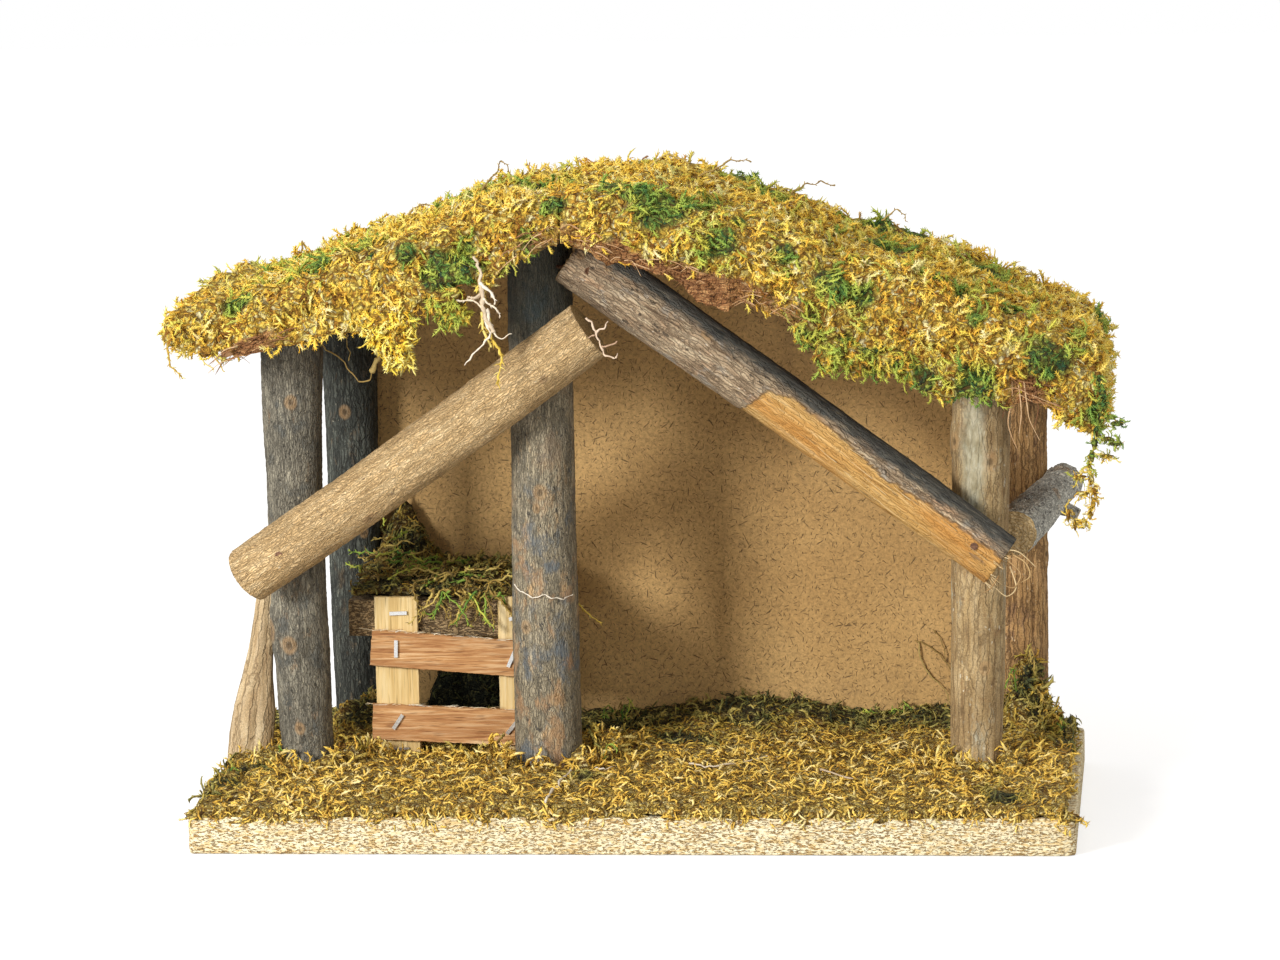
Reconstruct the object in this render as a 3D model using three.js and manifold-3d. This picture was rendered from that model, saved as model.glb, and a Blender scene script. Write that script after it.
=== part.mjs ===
// A small crib stable built from branch wood, chipboard, hardboard and moss.
// Millimetres, +X to the right, +Y to the back, +Z up.
// The origin is the middle of the underside of the base board.

import * as THREE from 'three';
import { mergeVertices } from 'three/addons/utils/BufferGeometryUtils.js';
import Module from 'manifold-3d';

const wasm = await Module();
wasm.setup();

// Fits
const FIT_GAP = 0.3;          // clearance between two pieces that touch
const SEAT_DEPTH = 0.4;       // how far a round log is flattened where it bears on another
const TRIM_ALLOWANCE = 8;     // spare length that is sawn off a post at the floor and the roof
const TRIM_BLOCK = 420;       // side of the block that stands for the waste when a log is sawn

// Base board of chipboard
const BASE_LENGTH = 285;
const BASE_DEPTH = 150;
const BASE_THICKNESS = 12;
const BASE_CORNER_RADIUS = 3;
const BASE_CORNER_SEGMENTS = 4;

// Back wall of hardboard, standing on the base behind the back posts
const WALL_THICKNESS = 3;
const WALL_EDGE_INSET = 0.7;  // from the back edge of the base to the wall
const WALL_SIDE_LAP = 7;      // how far the wall runs past the axis of each back post

// Roof: two hardboard panels that meet at an off-centre ridge
const RIDGE_X = -21;
const RIDGE_HEIGHT = 196;     // underside of the panels at the ridge
const LEFT_PITCH = 19.6;      // degrees
const RIGHT_PITCH = 19;       // degrees
const PANEL_THICKNESS = 3;
const LEFT_EAVE_X = -132;
const RIGHT_EAVE_X = 149;
const ROOF_FRONT_Y = -45;
const ROOF_BACK_Y = 82;

// Posts: branch wood, each given by its axis and its radii from foot to head
const FRONT_ROW_Y = -10;
const FRONT_LEFT_POST = {
  axisX: [-113, -115.2, -114.8],
  radii: [8.4, 9.1, 9.2, 10.2],
  knots: [
    { height: 58, angle: 105, radius: 2.6 },
    { height: 62, angle: 160, radius: 3.4 },
    { height: 139, angle: 84, radius: 1.9 },
  ],
};
const BACK_LEFT_POST = {
  axisX: [-106.7, -107.4, -107],
  radii: [8.3, 8.6, 8.9, 9.3],
  knots: [{ height: 126, angle: 95, radius: 2 }],
};
const CENTRE_POST = {
  axisX: [-32.7, -32.7, -31.9],
  radii: [10.9, 10.7, 10.4, 10.4],
  knots: [{ height: 109, angle: 88, radius: 2.2 }, { height: 160, angle: 200, radius: 2 }],
};
const FRONT_RIGHT_POST = {
  axisX: [108.4, 110.2, 112],
  radii: [8.1, 8.8, 9.3, 9.3],
  knots: [{ height: 50, angle: 72, radius: 2 }, { height: 124, angle: 150, radius: 2.4 }],
};
const BACK_RIGHT_POST = {
  axisX: [121.6, 121.9, 122.3],
  radii: [8.5, 8.5, 8.6, 8.6],
  knots: [{ height: 75, angle: 20, radius: 2 }],
};

// Braces: one sloping log nailed to the front of two posts on each side
const LEFT_BRACE_DROP = 32.6;     // from the underside of the ridge to the axis of its high end
const RIGHT_BRACE_DROP = 9.4;
const LEFT_BRACE = {
  low: [-128.2, 83.4],        // x and z of the axis at the outer end
  high: [-14.1, RIDGE_HEIGHT - LEFT_BRACE_DROP],
  sag: 1.2,
  radii: [9.3, 9.5, 9.8, 9.7],
  knots: [{ along: 0.33, angle: 45, radius: 2 }],
};
const RIGHT_BRACE = {
  low: [117.7, 86.7],
  high: [-19.6, RIDGE_HEIGHT - RIGHT_BRACE_DROP],
  sag: -0.8,
  radii: [8.9, 9.3, 9.6, 9.6],
  knots: [{ along: 0.7, angle: 60, radius: 2 }],
};
const RIGHT_BRACE_LAP = 45;   // degrees round its high end where it bears on the centre post

// Side rail: a knobbly stick from the front right post past the back right post
const RAIL_FRONT_HEIGHT = 92;
const RAIL_BACK_HEIGHT = 98.4;
const RAIL_FRONT_SPREAD = 11.2;   // from the axis of the front right post, across
const RAIL_BACK_OVERRUN = 7;      // past the axis of the back right post, to the back
const RAIL_END_COPE = 1.5;        // how deep its front end is coped round the post
const RAIL_RADII = [7.3, 7, 6.6, 6, 5.4];
const RAIL_STUB = { along: 0.62, angle: -25, radius: 2.6, length: 6 };
const RAIL_KNOTS = [{ along: 0.3, angle: 130, radius: 2.4 }, { along: 0.86, angle: 80, radius: 2.8 }];

// Prop: a split piece of branch that leans on the left of the front left post
const PROP_FOOT_X = -136;
const PROP_FOOT_SETBACK = 7;      // how far its foot stands behind its top
const PROP_TOP_HEIGHT = 86;
const PROP_SIDE_ANGLE = 155;      // degrees round the post where its top end lies
const PROP_FLATNESS = 0.62;       // its thickness as a share of its width
const PROP_RADII = [6.9, 7.1, 6.7, 5.1, 4, 3.4, 3.1, 3];

// Manger rack: two upright strips and two slats, stapled together and to the loft board
const STRIP_WIDTH = 14.7;
const STRIP_THICKNESS = 2.4;
const STRIP_HEIGHT = 58;
const LEFT_STRIP_X = -84.9;       // middle of the strip
const RIGHT_STRIP_X = -43.4;
const SLAT_WIDTH = 12.4;
const SLAT_THICKNESS = 2;
const SLAT_OVERHANG = 1.3;        // past the outer edge of each strip
const UPPER_SLAT = { height: 51.1, tilt: -4.6 };   // at its middle, degrees
const LOWER_SLAT = { height: 27, tilt: -2.5 };

// Loft board of chipboard between the rack and the back wall
const LOFT_TOP = 68.6;
const LOFT_THICKNESS = 12;
const LOFT_LEFT_X = -101.2;
const LOFT_RIGHT_X = -35;

// Moss
const ROOF_MOSS_LEFT = 16;        // thickness on the left panel
const ROOF_MOSS_RIGHT = 20;
const ROOF_MOSS_RIDGE = 11.5;     // thickness at the ridge
const ROOF_MOSS_RIDGE_RUN = 30;   // width over which it thins to the ridge
const ROOF_MOSS_EDGE_SHARE = 0.6; // thickness at its edges as a share of the full thickness
const ROOF_MOSS_LIP = 4.2;        // how far it hangs out past the front edge and the right eave
const ROOF_MOSS_TIP = 21.2;       // how far it stands out past the left eave, where its tip turns up
const ROOF_MOSS_TIP_RISE = 18;    // how far the underside of that tip turns up
const ROOF_MOSS_TIP_TOP = 0.5;    // the rise of its top as a share of that
const ROOF_MOSS_TIP_RUN = 40;     // width over which it turns up
const ROOF_MOSS_BACK_LIP = 2;
const ROOF_MOSS_HANG = 4;         // how far it hangs below the panel at its edge
const ROOF_MOSS_TUFT_REACH = 12;  // how far back from the front edge the tufts hang
const ROOF_MOSS_CELL = 6.4;       // spacing of the points that shape it
const ROOF_MOSS_TUFTS = [
  { x: -98, drop: 3.5, width: 13 },
  { x: -76, drop: 21, width: 8 },
  { x: -44, drop: 8, width: 7 },
  { x: 26, drop: 6, width: 6 },
  { x: 72, drop: 9, width: 13 },
  { x: 98, drop: 13, width: 13 },
  { x: 118, drop: 8, width: 7 },
  { x: 143, drop: 6, width: 6 },
];
const FLOOR_MOSS_EDGE_INSET = 1;
const FLOOR_MOSS_FRONT = 4;       // thickness at the front edge of the base
const FLOOR_MOSS_BACK = 8;        // thickness at the wall
const FLOOR_MOSS_CELL = 9;
const FLOOR_MOSS_MOUNDS = [
  { x: 123, y: 47, rise: 22, width: 8.5 },
  { x: -101, y: 26, rise: 14, width: 11 },
  { x: -122, y: -4, rise: 7, width: 8 },
  { x: 30, y: 62, rise: 5, width: 22 },
];
const LOFT_MOSS = 5;
const LOFT_MOSS_CELL = 5.5;
const LOFT_MOSS_MOUNDS = [
  { x: -91, y: 65, rise: 22, width: 8 },
  { x: -60, y: 30, rise: 4, width: 14 },
];
const MOSS_LUMP = 1.3;            // height of the lumps all over the moss
const MOSS_LUMP_SHARE = 0.5;      // share of small lumps in it, the rest are broad swells
const MOSS_LUMP_PITCH = 5.2;      // size of one small lump
const MOSS_SWELL_PITCH = 16;      // size of one broad swell

// Nails
const NAIL_SHANK_RADIUS = 0.6;
const NAIL_HEAD_RADIUS = 1.3;
const NAIL_HEAD_THICKNESS = 0.7;
const NAIL_POINT = 2;
const NAIL_SIDES = 8;
const COUNTERBORE = 4;            // how far the hole for a head runs out of the wood
const BRACE_NAIL_LENGTH = 29;
const LAP_NAIL_LENGTH = 31;
const FOOT_NAIL_LENGTH = 28;
const ROOF_NAIL_LENGTH = 16;
const WALL_NAIL_LENGTH = 11;
const LOFT_NAIL_LENGTH = 16;
const PROP_NAIL_LENGTH = 13;
const RAIL_BACK_NAIL_LENGTH = 21;
const RAIL_FRONT_NAIL_LENGTH = 27;
const LEFT_BRACE_NAIL_X = [-116.5, -32.4];
const RIGHT_BRACE_NAIL_X = 109.7;
const LAP_NAIL_X = -13.4;
const WALL_NAIL_HEIGHTS = [40, 118];
const LOFT_NAIL_INSET = 14;       // from each end of the loft board
const LOFT_NAIL_POST_ROOM = 6;    // least distance from the back left post to the left one
const RAIL_NAIL_RISE = 3.6;       // keeps the rail's front nail above the brace's nail
const RAIL_NAIL_STATION = 0.06;   // share of the rail's length that its front nail aims at
const PROP_NAIL_DROP = 5;         // below the top of the prop

// Staples of flat wire
const STAPLE_CROWN = 5.8;
const STAPLE_LEG = 5;
const STAPLE_WIRE_THICKNESS = 0.6;
const STAPLE_WIRE_WIDTH = 1.2;
const STAPLE_GAP = 0.28;          // clearance round a staple
const STRIP_STAPLES = [
  { name: 'strip_left_top', strip: 'left', height: LOFT_TOP - 3.8, shift: 0.9, turn: 2 },
  { name: 'strip_left_foot', strip: 'left', height: BASE_THICKNESS + 6.6, shift: 0.5, turn: 1 },
  { name: 'strip_right_top', strip: 'right', height: LOFT_TOP - 5, shift: -0.6, turn: 20 },
  { name: 'strip_right_foot', strip: 'right', height: BASE_THICKNESS + 5.6, shift: 0.3, turn: 4 },
];
const SLAT_STAPLES = [
  { name: 'slat_upper_left', strip: 'left', slat: UPPER_SLAT, rise: 0.4, shift: 0.2, turn: 88 },
  { name: 'slat_upper_right', strip: 'right', slat: UPPER_SLAT, rise: 0, shift: -2.6, turn: 66 },
  { name: 'slat_lower_left', strip: 'left', slat: LOWER_SLAT, rise: 0.5, shift: 0.2, turn: 56 },
  { name: 'slat_lower_right', strip: 'right', slat: LOWER_SLAT, rise: 0.4, shift: -2.8, turn: 50 },
];

// Surface of a log
const LOG_SIDES = 16;
const LOG_RING_PITCH = 11;        // distance between rings along a log
const BARK_RIPPLE = 0.02;         // unevenness as a share of the radius
const BARK_WAVES = [{ lobes: 2, twist: 9, share: 0.67 }, { lobes: 3, twist: -17, share: 0.33 }];
const STATION_STEPS = 30;         // halvings when a place along a log is looked up
const KNOT_SIDES = 8;
const KNOT_RISE = 1;              // how far a trimmed knot stands out of the bark
const KNOT_TAPER = 0.7;

// Materials
const matt = (color) => new THREE.MeshStandardMaterial({ color, roughness: 0.9, metalness: 0 });
const CHIPBOARD = matt(0xcdb684);
const HARDBOARD = matt(0x9a7440);
const DARK_BARK = matt(0x57524a);
const TAN_BARK = matt(0x9c7f58);
const GREY_BARK = matt(0x8f7b5c);
const PALE_WOOD = matt(0xdcc98c);
const RED_WOOD = matt(0xb0764c);
const MOSS = matt(0xb09a2e);
const STEEL = new THREE.MeshStandardMaterial({ color: 0xc8c8c8, roughness: 0.35, metalness: 1 });

const stable = new THREE.Group();
const radians = THREE.MathUtils.degToRad;

// Solids and meshes

function solidOf(geometry) {
  const bare = geometry.clone();
  bare.deleteAttribute('normal');
  bare.deleteAttribute('uv');
  const merged = mergeVertices(bare);
  return new wasm.Manifold(new wasm.Mesh({
    numProp: 3,
    vertProperties: Float32Array.from(merged.attributes.position.array),
    triVerts: Uint32Array.from(merged.index.array),
  }));
}

function addPiece(name, solid, material) {
  const { vertProperties, triVerts } = solid.getMesh();
  const geometry = new THREE.BufferGeometry();
  geometry.setAttribute('position', new THREE.BufferAttribute(vertProperties, 3));
  geometry.setIndex(new THREE.BufferAttribute(triVerts, 1));
  geometry.computeVertexNormals();
  const mesh = new THREE.Mesh(geometry, material);
  mesh.name = name;
  stable.add(mesh);
}

function cutAll(solid, cutters) {
  return cutters.reduce((left, cutter) => left.subtract(cutter), solid);
}

// An outline drawn in x and z, given a thickness from one y to another
function plate(points, fromY, toY) {
  const shape = new THREE.Shape(points.map(([x, z]) => new THREE.Vector2(x, z)));
  const geometry = new THREE.ExtrudeGeometry(shape, { depth: toY - fromY, bevelEnabled: false });
  geometry.rotateX(Math.PI / 2);
  geometry.translate(0, toY, 0);
  return solidOf(geometry);
}

function block(fromX, toX, fromY, toY, fromZ, toZ) {
  const geometry = new THREE.BoxGeometry(toX - fromX, toY - fromY, toZ - fromZ);
  geometry.translate((fromX + toX) / 2, (fromY + toY) / 2, (fromZ + toZ) / 2);
  return solidOf(geometry);
}

// Levels that the pieces share

const floorLevel = BASE_THICKNESS + FIT_GAP;
const wallBackY = BASE_DEPTH / 2 - WALL_EDGE_INSET;
const wallFrontY = wallBackY - WALL_THICKNESS;

function pitchAt(x) {
  return radians(x < RIDGE_X ? LEFT_PITCH : RIGHT_PITCH);
}

function roofUnderside(x) {
  return RIDGE_HEIGHT - Math.tan(pitchAt(x)) * Math.abs(x - RIDGE_X);
}

function roofTop(x) {
  return roofUnderside(x) + PANEL_THICKNESS / Math.cos(pitchAt(x));
}

const belowFloor = block(-TRIM_BLOCK, TRIM_BLOCK, -TRIM_BLOCK, TRIM_BLOCK, -TRIM_BLOCK, floorLevel);
const farLeft = RIDGE_X - TRIM_BLOCK / 2;
const farRight = RIDGE_X + TRIM_BLOCK / 2;
const aboveRoof = plate([
  [farLeft, roofUnderside(farLeft) - FIT_GAP],
  [RIDGE_X, RIDGE_HEIGHT - FIT_GAP],
  [farRight, roofUnderside(farRight) - FIT_GAP],
  [farRight, TRIM_BLOCK],
  [farLeft, TRIM_BLOCK],
], -TRIM_BLOCK / 2, TRIM_BLOCK / 2);

// Logs

// A log follows a curve, with radii spaced evenly from its first end to its last
function makeLog(points, radii, knots = [], flatness = 1) {
  const curve = new THREE.CatmullRomCurve3(points);
  const run = points[points.length - 1].clone().sub(points[0]);
  const direction = run.clone().normalize();
  const side = new THREE.Vector3(1, 0, 0);
  const across = side.clone().addScaledVector(direction, -side.dot(direction)).normalize();
  const over = across.clone().cross(direction);
  return { curve, radii, knots, flatness, direction, across, over, length: run.length() };
}

// The bark's distance from the axis, at a share of the length and an angle in radians
function barkRadius(log, along, angle) {
  const place = THREE.MathUtils.clamp(along, 0, 1) * (log.radii.length - 1);
  const index = Math.min(Math.floor(place), log.radii.length - 2);
  const radius = THREE.MathUtils.lerp(log.radii[index], log.radii[index + 1], place - index);
  const ripple = BARK_WAVES.reduce((sum, { lobes, twist, share }) => (
    sum + share * Math.sin(lobes * angle + twist * along)
  ), 0);
  return radius * (1 + BARK_RIPPLE * ripple);
}

function barkPoint(log, along, angle, height = 0) {
  const radius = barkRadius(log, along, angle) + height;
  return log.curve.getPoint(along)
    .addScaledVector(log.across, radius * Math.cos(angle))
    .addScaledVector(log.over, radius * log.flatness * Math.sin(angle));
}

// The share of a log's length at which its axis has the given x, y or z
function stationAt(log, axis, value) {
  const rising = log.curve.getPoint(1)[axis] > log.curve.getPoint(0)[axis];
  let low = 0;
  let high = 1;
  for (let step = 0; step < STATION_STEPS; step += 1) {
    const middle = (low + high) / 2;
    if ((log.curve.getPoint(middle)[axis] < value) === rising) {
      low = middle;
    } else {
      high = middle;
    }
  }
  return (low + high) / 2;
}

// The log's surface, or with a margin the space that a neighbour leaves free for it
function logSurface(log, margin = 0) {
  const rings = Math.round(log.length / LOG_RING_PITCH);
  const geometry = new THREE.CylinderGeometry(1, 1, 1, LOG_SIDES, rings);
  const position = geometry.attributes.position;
  for (let i = 0; i < position.count; i += 1) {
    const along = position.getY(i) + 0.5;
    const spoke = Math.hypot(position.getX(i), position.getZ(i));
    const angle = Math.atan2(position.getZ(i), position.getX(i));
    const centre = log.curve.getPoint(along);
    const rim = barkPoint(log, along, angle, margin);
    const point = centre.lerp(rim, spoke);
    point.addScaledVector(log.direction, margin * Math.sign(Math.round(2 * along - 1)));
    position.setXYZ(i, point.x, point.y, point.z);
  }
  return solidOf(geometry);
}

// A short tapered stump that stands out of the bark
function stump(log, { along, angle, radius, length = KNOT_RISE }) {
  const turned = radians(angle);
  const root = log.curve.getPoint(along);
  const tip = barkPoint(log, along, turned, length);
  const reach = tip.distanceTo(root);
  const geometry = new THREE.CylinderGeometry(radius * KNOT_TAPER, radius, reach, KNOT_SIDES);
  const outward = tip.clone().sub(root).normalize();
  geometry.applyQuaternion(new THREE.Quaternion().setFromUnitVectors(new THREE.Vector3(0, 1, 0), outward));
  const middle = root.lerp(tip, 0.5);
  geometry.translate(middle.x, middle.y, middle.z);
  return solidOf(geometry);
}

function logSolid(log) {
  return log.knots.reduce((wood, knot) => wood.add(stump(log, knot)), logSurface(log));
}

// Posts

function makePost({ axisX, radii, knots }, y) {
  const foot = floorLevel - TRIM_ALLOWANCE;
  const head = roofUnderside(axisX[2]) + TRIM_ALLOWANCE;
  const points = axisX.map((x, i) => new THREE.Vector3(x, y, THREE.MathUtils.lerp(foot, head, i / 2)));
  const log = makeLog(points, radii, []);
  log.knots = knots.map((knot) => ({ ...knot, along: stationAt(log, 'z', knot.height) }));
  log.y = y;
  return log;
}

function widest(radii) {
  return Math.max(...radii) * (1 + BARK_RIPPLE);
}

const posts = {
  front_left: makePost(FRONT_LEFT_POST, FRONT_ROW_Y),
  back_left: makePost(BACK_LEFT_POST, wallFrontY - FIT_GAP - widest(BACK_LEFT_POST.radii)),
  front_centre: makePost(CENTRE_POST, FRONT_ROW_Y),
  front_right: makePost(FRONT_RIGHT_POST, FRONT_ROW_Y),
  back_right: makePost(BACK_RIGHT_POST, wallFrontY - FIT_GAP - widest(BACK_RIGHT_POST.radii)),
};

const FRONT = Math.PI / 2;
const BACK = -Math.PI / 2;

// Braces

// The y of a brace's axis where the brace bears on the front of a post
function bearingY(post, radius, z) {
  return post.y - barkRadius(post, stationAt(post, 'z', z), FRONT) - radius + SEAT_DEPTH;
}

function braceCurve({ low, high, sag }, lowY, highY) {
  const start = new THREE.Vector3(low[0], lowY, low[1]);
  const end = new THREE.Vector3(high[0], highY, high[1]);
  const middle = start.clone().lerp(end, 0.5);
  middle.z -= sag;
  return [start, middle, end];
}

function heightOnBrace({ low, high }, x) {
  return THREE.MathUtils.mapLinear(x, low[0], high[0], low[1], high[1]);
}

const outerPostX = FRONT_LEFT_POST.axisX[1];
const centrePostX = CENTRE_POST.axisX[2];
const rightPostX = FRONT_RIGHT_POST.axisX[1];

const outerLapZ = heightOnBrace(LEFT_BRACE, outerPostX);
const centreLapZ = heightOnBrace(LEFT_BRACE, centrePostX);
const outerBearing = bearingY(posts.front_left, LEFT_BRACE.radii[0], outerLapZ);
const centreBearing = bearingY(posts.front_centre, LEFT_BRACE.radii[3], centreLapZ);
const leftBraceY = (x) => (
  THREE.MathUtils.mapLinear(x, outerPostX, centrePostX, outerBearing, centreBearing)
);
const braceLeft = makeLog(
  braceCurve(LEFT_BRACE, leftBraceY(LEFT_BRACE.low[0]), leftBraceY(LEFT_BRACE.high[0])),
  LEFT_BRACE.radii,
  LEFT_BRACE.knots,
);

// The right brace laps the right of the centre post with the rim of its high end
function lapY({ low, high, radii }) {
  const slope = Math.atan2(high[1] - low[1], low[0] - high[0]);
  const radius = radii[radii.length - 1];
  const lap = radians(RIGHT_BRACE_LAP);
  const rimX = high[0] - radius * Math.cos(lap) * Math.sin(slope);
  const postRadius = CENTRE_POST.radii[3];
  const chord = Math.sqrt(postRadius ** 2 - (rimX - centrePostX) ** 2);
  return FRONT_ROW_Y - chord - radius * Math.sin(lap) + SEAT_DEPTH;
}

const rightLapZ = heightOnBrace(RIGHT_BRACE, rightPostX);
const rightBearing = bearingY(posts.front_right, RIGHT_BRACE.radii[0], rightLapZ);
const lapBearing = lapY(RIGHT_BRACE);
const rightBraceY = (x) => (
  THREE.MathUtils.mapLinear(x, rightPostX, RIGHT_BRACE.high[0], rightBearing, lapBearing)
);
const braceRight = makeLog(
  braceCurve(RIGHT_BRACE, rightBraceY(RIGHT_BRACE.low[0]), lapBearing),
  RIGHT_BRACE.radii,
  RIGHT_BRACE.knots,
);

// Side rail

const railStart = (() => {
  const post = posts.front_right;
  const station = stationAt(post, 'z', RAIL_FRONT_HEIGHT);
  const spread = RAIL_FRONT_SPREAD - RAIL_RADII[0];
  const reach = Math.sqrt(barkRadius(post, station, BACK) ** 2 - spread ** 2);
  const x = post.curve.getPoint(station).x + RAIL_FRONT_SPREAD;
  return new THREE.Vector3(x, post.y + reach - SEAT_DEPTH - RAIL_END_COPE, RAIL_FRONT_HEIGHT);
})();
const railPass = (() => {
  const post = posts.back_right;
  const station = stationAt(post, 'z', RAIL_BACK_HEIGHT);
  const bark = barkRadius(post, station, 0);
  const x = post.curve.getPoint(station).x + bark + RAIL_RADII[4] - SEAT_DEPTH;
  return new THREE.Vector3(x, post.y, RAIL_BACK_HEIGHT);
})();
const railRun = railPass.clone().sub(railStart);
const railEnd = railPass.clone().addScaledVector(railRun, RAIL_BACK_OVERRUN / railRun.y);
const rail = makeLog(
  [railStart, railStart.clone().lerp(railEnd, 0.5), railEnd],
  RAIL_RADII,
  [...RAIL_KNOTS, RAIL_STUB],
);

// Prop

const propTop = (() => {
  const post = posts.front_left;
  const station = stationAt(post, 'z', PROP_TOP_HEIGHT);
  const turned = -radians(PROP_SIDE_ANGLE);
  const halfThickness = PROP_RADII[PROP_RADII.length - 1];
  return barkPoint(post, station, turned, halfThickness * PROP_FLATNESS - SEAT_DEPTH);
})();
const propFoot = new THREE.Vector3(PROP_FOOT_X, propTop.y + PROP_FOOT_SETBACK, floorLevel);
const prop = makeLog(
  [propFoot, propFoot.clone().lerp(propTop, 0.5), propTop],
  PROP_RADII,
  [],
  PROP_FLATNESS,
);

// Nails

// With a margin this is the hole for the nail, open at its head
function nailSolid(head, direction, length, margin = 0) {
  const shank = NAIL_SHANK_RADIUS + margin;
  const neck = -NAIL_HEAD_THICKNESS - margin;
  const rim = NAIL_HEAD_RADIUS + margin;
  const top = margin > 0 ? COUNTERBORE : 0;
  const profile = [
    new THREE.Vector2(0, -length - margin),
    new THREE.Vector2(shank, NAIL_POINT - length),
    new THREE.Vector2(shank, neck),
    new THREE.Vector2(rim, neck),
    new THREE.Vector2(rim, top),
    new THREE.Vector2(0, top),
  ];
  const geometry = new THREE.LatheGeometry(profile, NAIL_SIDES);
  const down = new THREE.Vector3(0, -1, 0);
  geometry.applyQuaternion(new THREE.Quaternion().setFromUnitVectors(down, direction));
  geometry.translate(head.x, head.y, head.z);
  return solidOf(geometry);
}

const nailHoles = {};

function driveNail(name, head, direction, length) {
  const aim = direction.clone().normalize();
  addPiece(name, nailSolid(head, aim, length), STEEL);
  nailHoles[name] = nailSolid(head, aim, length, FIT_GAP);
  return nailHoles[name];
}

const TO_BACK = new THREE.Vector3(0, 1, 0);
const TO_FRONT = new THREE.Vector3(0, -1, 0);
const UPWARD = new THREE.Vector3(0, 0, 1);

const holes = Object.fromEntries(Object.keys(posts).map((name) => [name, []]));

// One nail from below into the foot of each post, and one through the roof into its head
const baseHoles = [];
const leftPanelHoles = [];
const rightPanelHoles = [];
for (const [name, post] of Object.entries(posts)) {
  const foot = post.curve.getPoint(stationAt(post, 'z', floorLevel));
  foot.z = FIT_GAP;
  const footNail = driveNail(`nail_foot_${name}`, foot, UPWARD, FOOT_NAIL_LENGTH);
  const headX = post.curve.getPoint(stationAt(post, 'z', roofUnderside(foot.x))).x;
  const pitch = pitchAt(headX);
  const lean = headX < RIDGE_X ? Math.sin(pitch) : -Math.sin(pitch);
  const intoPost = new THREE.Vector3(lean, 0, -Math.cos(pitch));
  const head = new THREE.Vector3(headX, post.y, roofTop(headX)).addScaledVector(intoPost, FIT_GAP / 2);
  const roofNail = driveNail(`nail_roof_${name}`, head, intoPost, ROOF_NAIL_LENGTH);
  baseHoles.push(footNail);
  (headX < RIDGE_X ? leftPanelHoles : rightPanelHoles).push(roofNail);
  holes[name].push(footNail, roofNail);
}

// Two nails through each brace
const leftBraceHoles = LEFT_BRACE_NAIL_X.map((x, i) => {
  const head = barkPoint(braceLeft, stationAt(braceLeft, 'x', x), FRONT);
  return driveNail(`nail_brace_left_${['low', 'high'][i]}`, head, TO_BACK, BRACE_NAIL_LENGTH);
});
holes.front_left.push(leftBraceHoles[0]);
holes.front_centre.push(leftBraceHoles[1]);

const rightBraceHead = barkPoint(braceRight, stationAt(braceRight, 'x', RIGHT_BRACE_NAIL_X), FRONT);
const rightBraceNail = driveNail('nail_brace_right_low', rightBraceHead, TO_BACK, BRACE_NAIL_LENGTH);
const lapHead = barkPoint(braceRight, stationAt(braceRight, 'x', LAP_NAIL_X), FRONT);
const lapAim = new THREE.Vector3(centrePostX, FRONT_ROW_Y, lapHead.z).sub(lapHead);
const lapNail = driveNail('nail_brace_right_high', lapHead, lapAim, LAP_NAIL_LENGTH);
holes.front_right.push(rightBraceNail);
holes.front_centre.push(lapNail);

// The rail's front nail goes in through the post, its back nail through the rail
const railFrontNail = (() => {
  const post = posts.front_right;
  const height = RAIL_FRONT_HEIGHT + RAIL_NAIL_RISE;
  const station = stationAt(post, 'z', height);
  const axis = post.curve.getPoint(station);
  const target = rail.curve.getPoint(RAIL_NAIL_STATION);
  const aim = new THREE.Vector3(target.x - axis.x, target.y - axis.y, 0).normalize();
  const head = axis.addScaledVector(aim, -barkRadius(post, station, Math.PI));
  return driveNail('nail_rail_front', head, aim, RAIL_FRONT_NAIL_LENGTH);
})();
const railBackHead = barkPoint(rail, stationAt(rail, 'y', posts.back_right.y), 0);
const railBackAim = new THREE.Vector3(-1, 0, 0);
const railBackNail = driveNail('nail_rail_back', railBackHead, railBackAim, RAIL_BACK_NAIL_LENGTH);
holes.front_right.push(railFrontNail);
holes.back_right.push(railBackNail);

// The prop's nail goes through its top end into the post
const propNail = (() => {
  const post = posts.front_left;
  const height = PROP_TOP_HEIGHT - PROP_NAIL_DROP;
  const centre = prop.curve.getPoint(stationAt(prop, 'z', height));
  const axis = post.curve.getPoint(stationAt(post, 'z', height));
  const aim = axis.sub(centre).normalize();
  const head = centre.clone().addScaledVector(aim, -PROP_RADII[PROP_RADII.length - 1]);
  return driveNail('nail_prop', head, aim, PROP_NAIL_LENGTH);
})();
holes.front_left.push(propNail);

// Nails through the back wall into the back posts and into the edge of the loft board
const wallHoles = [];
for (const side of ['left', 'right']) {
  const post = posts[`back_${side}`];
  WALL_NAIL_HEIGHTS.forEach((height, i) => {
    const x = post.curve.getPoint(stationAt(post, 'z', height)).x;
    const head = new THREE.Vector3(x, wallBackY, height);
    const hole = driveNail(`nail_wall_${side}_${['low', 'high'][i]}`, head, TO_FRONT, WALL_NAIL_LENGTH);
    wallHoles.push(hole);
    holes[`back_${side}`].push(hole);
  });
}
const loftNailHeight = LOFT_TOP - LOFT_THICKNESS / 2;
const backLeftSide = BACK_LEFT_POST.axisX[1] + widest(BACK_LEFT_POST.radii);
const loftNailX = {
  left: Math.max(LOFT_LEFT_X + LOFT_NAIL_INSET, backLeftSide + LOFT_NAIL_POST_ROOM),
  right: LOFT_RIGHT_X - LOFT_NAIL_INSET,
};
const loftNails = Object.entries(loftNailX).map(([side, x]) => {
  const head = new THREE.Vector3(x, wallBackY, loftNailHeight);
  return driveNail(`nail_loft_${side}`, head, TO_FRONT, LOFT_NAIL_LENGTH);
});
wallHoles.push(...loftNails);

// Wood pieces

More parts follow.
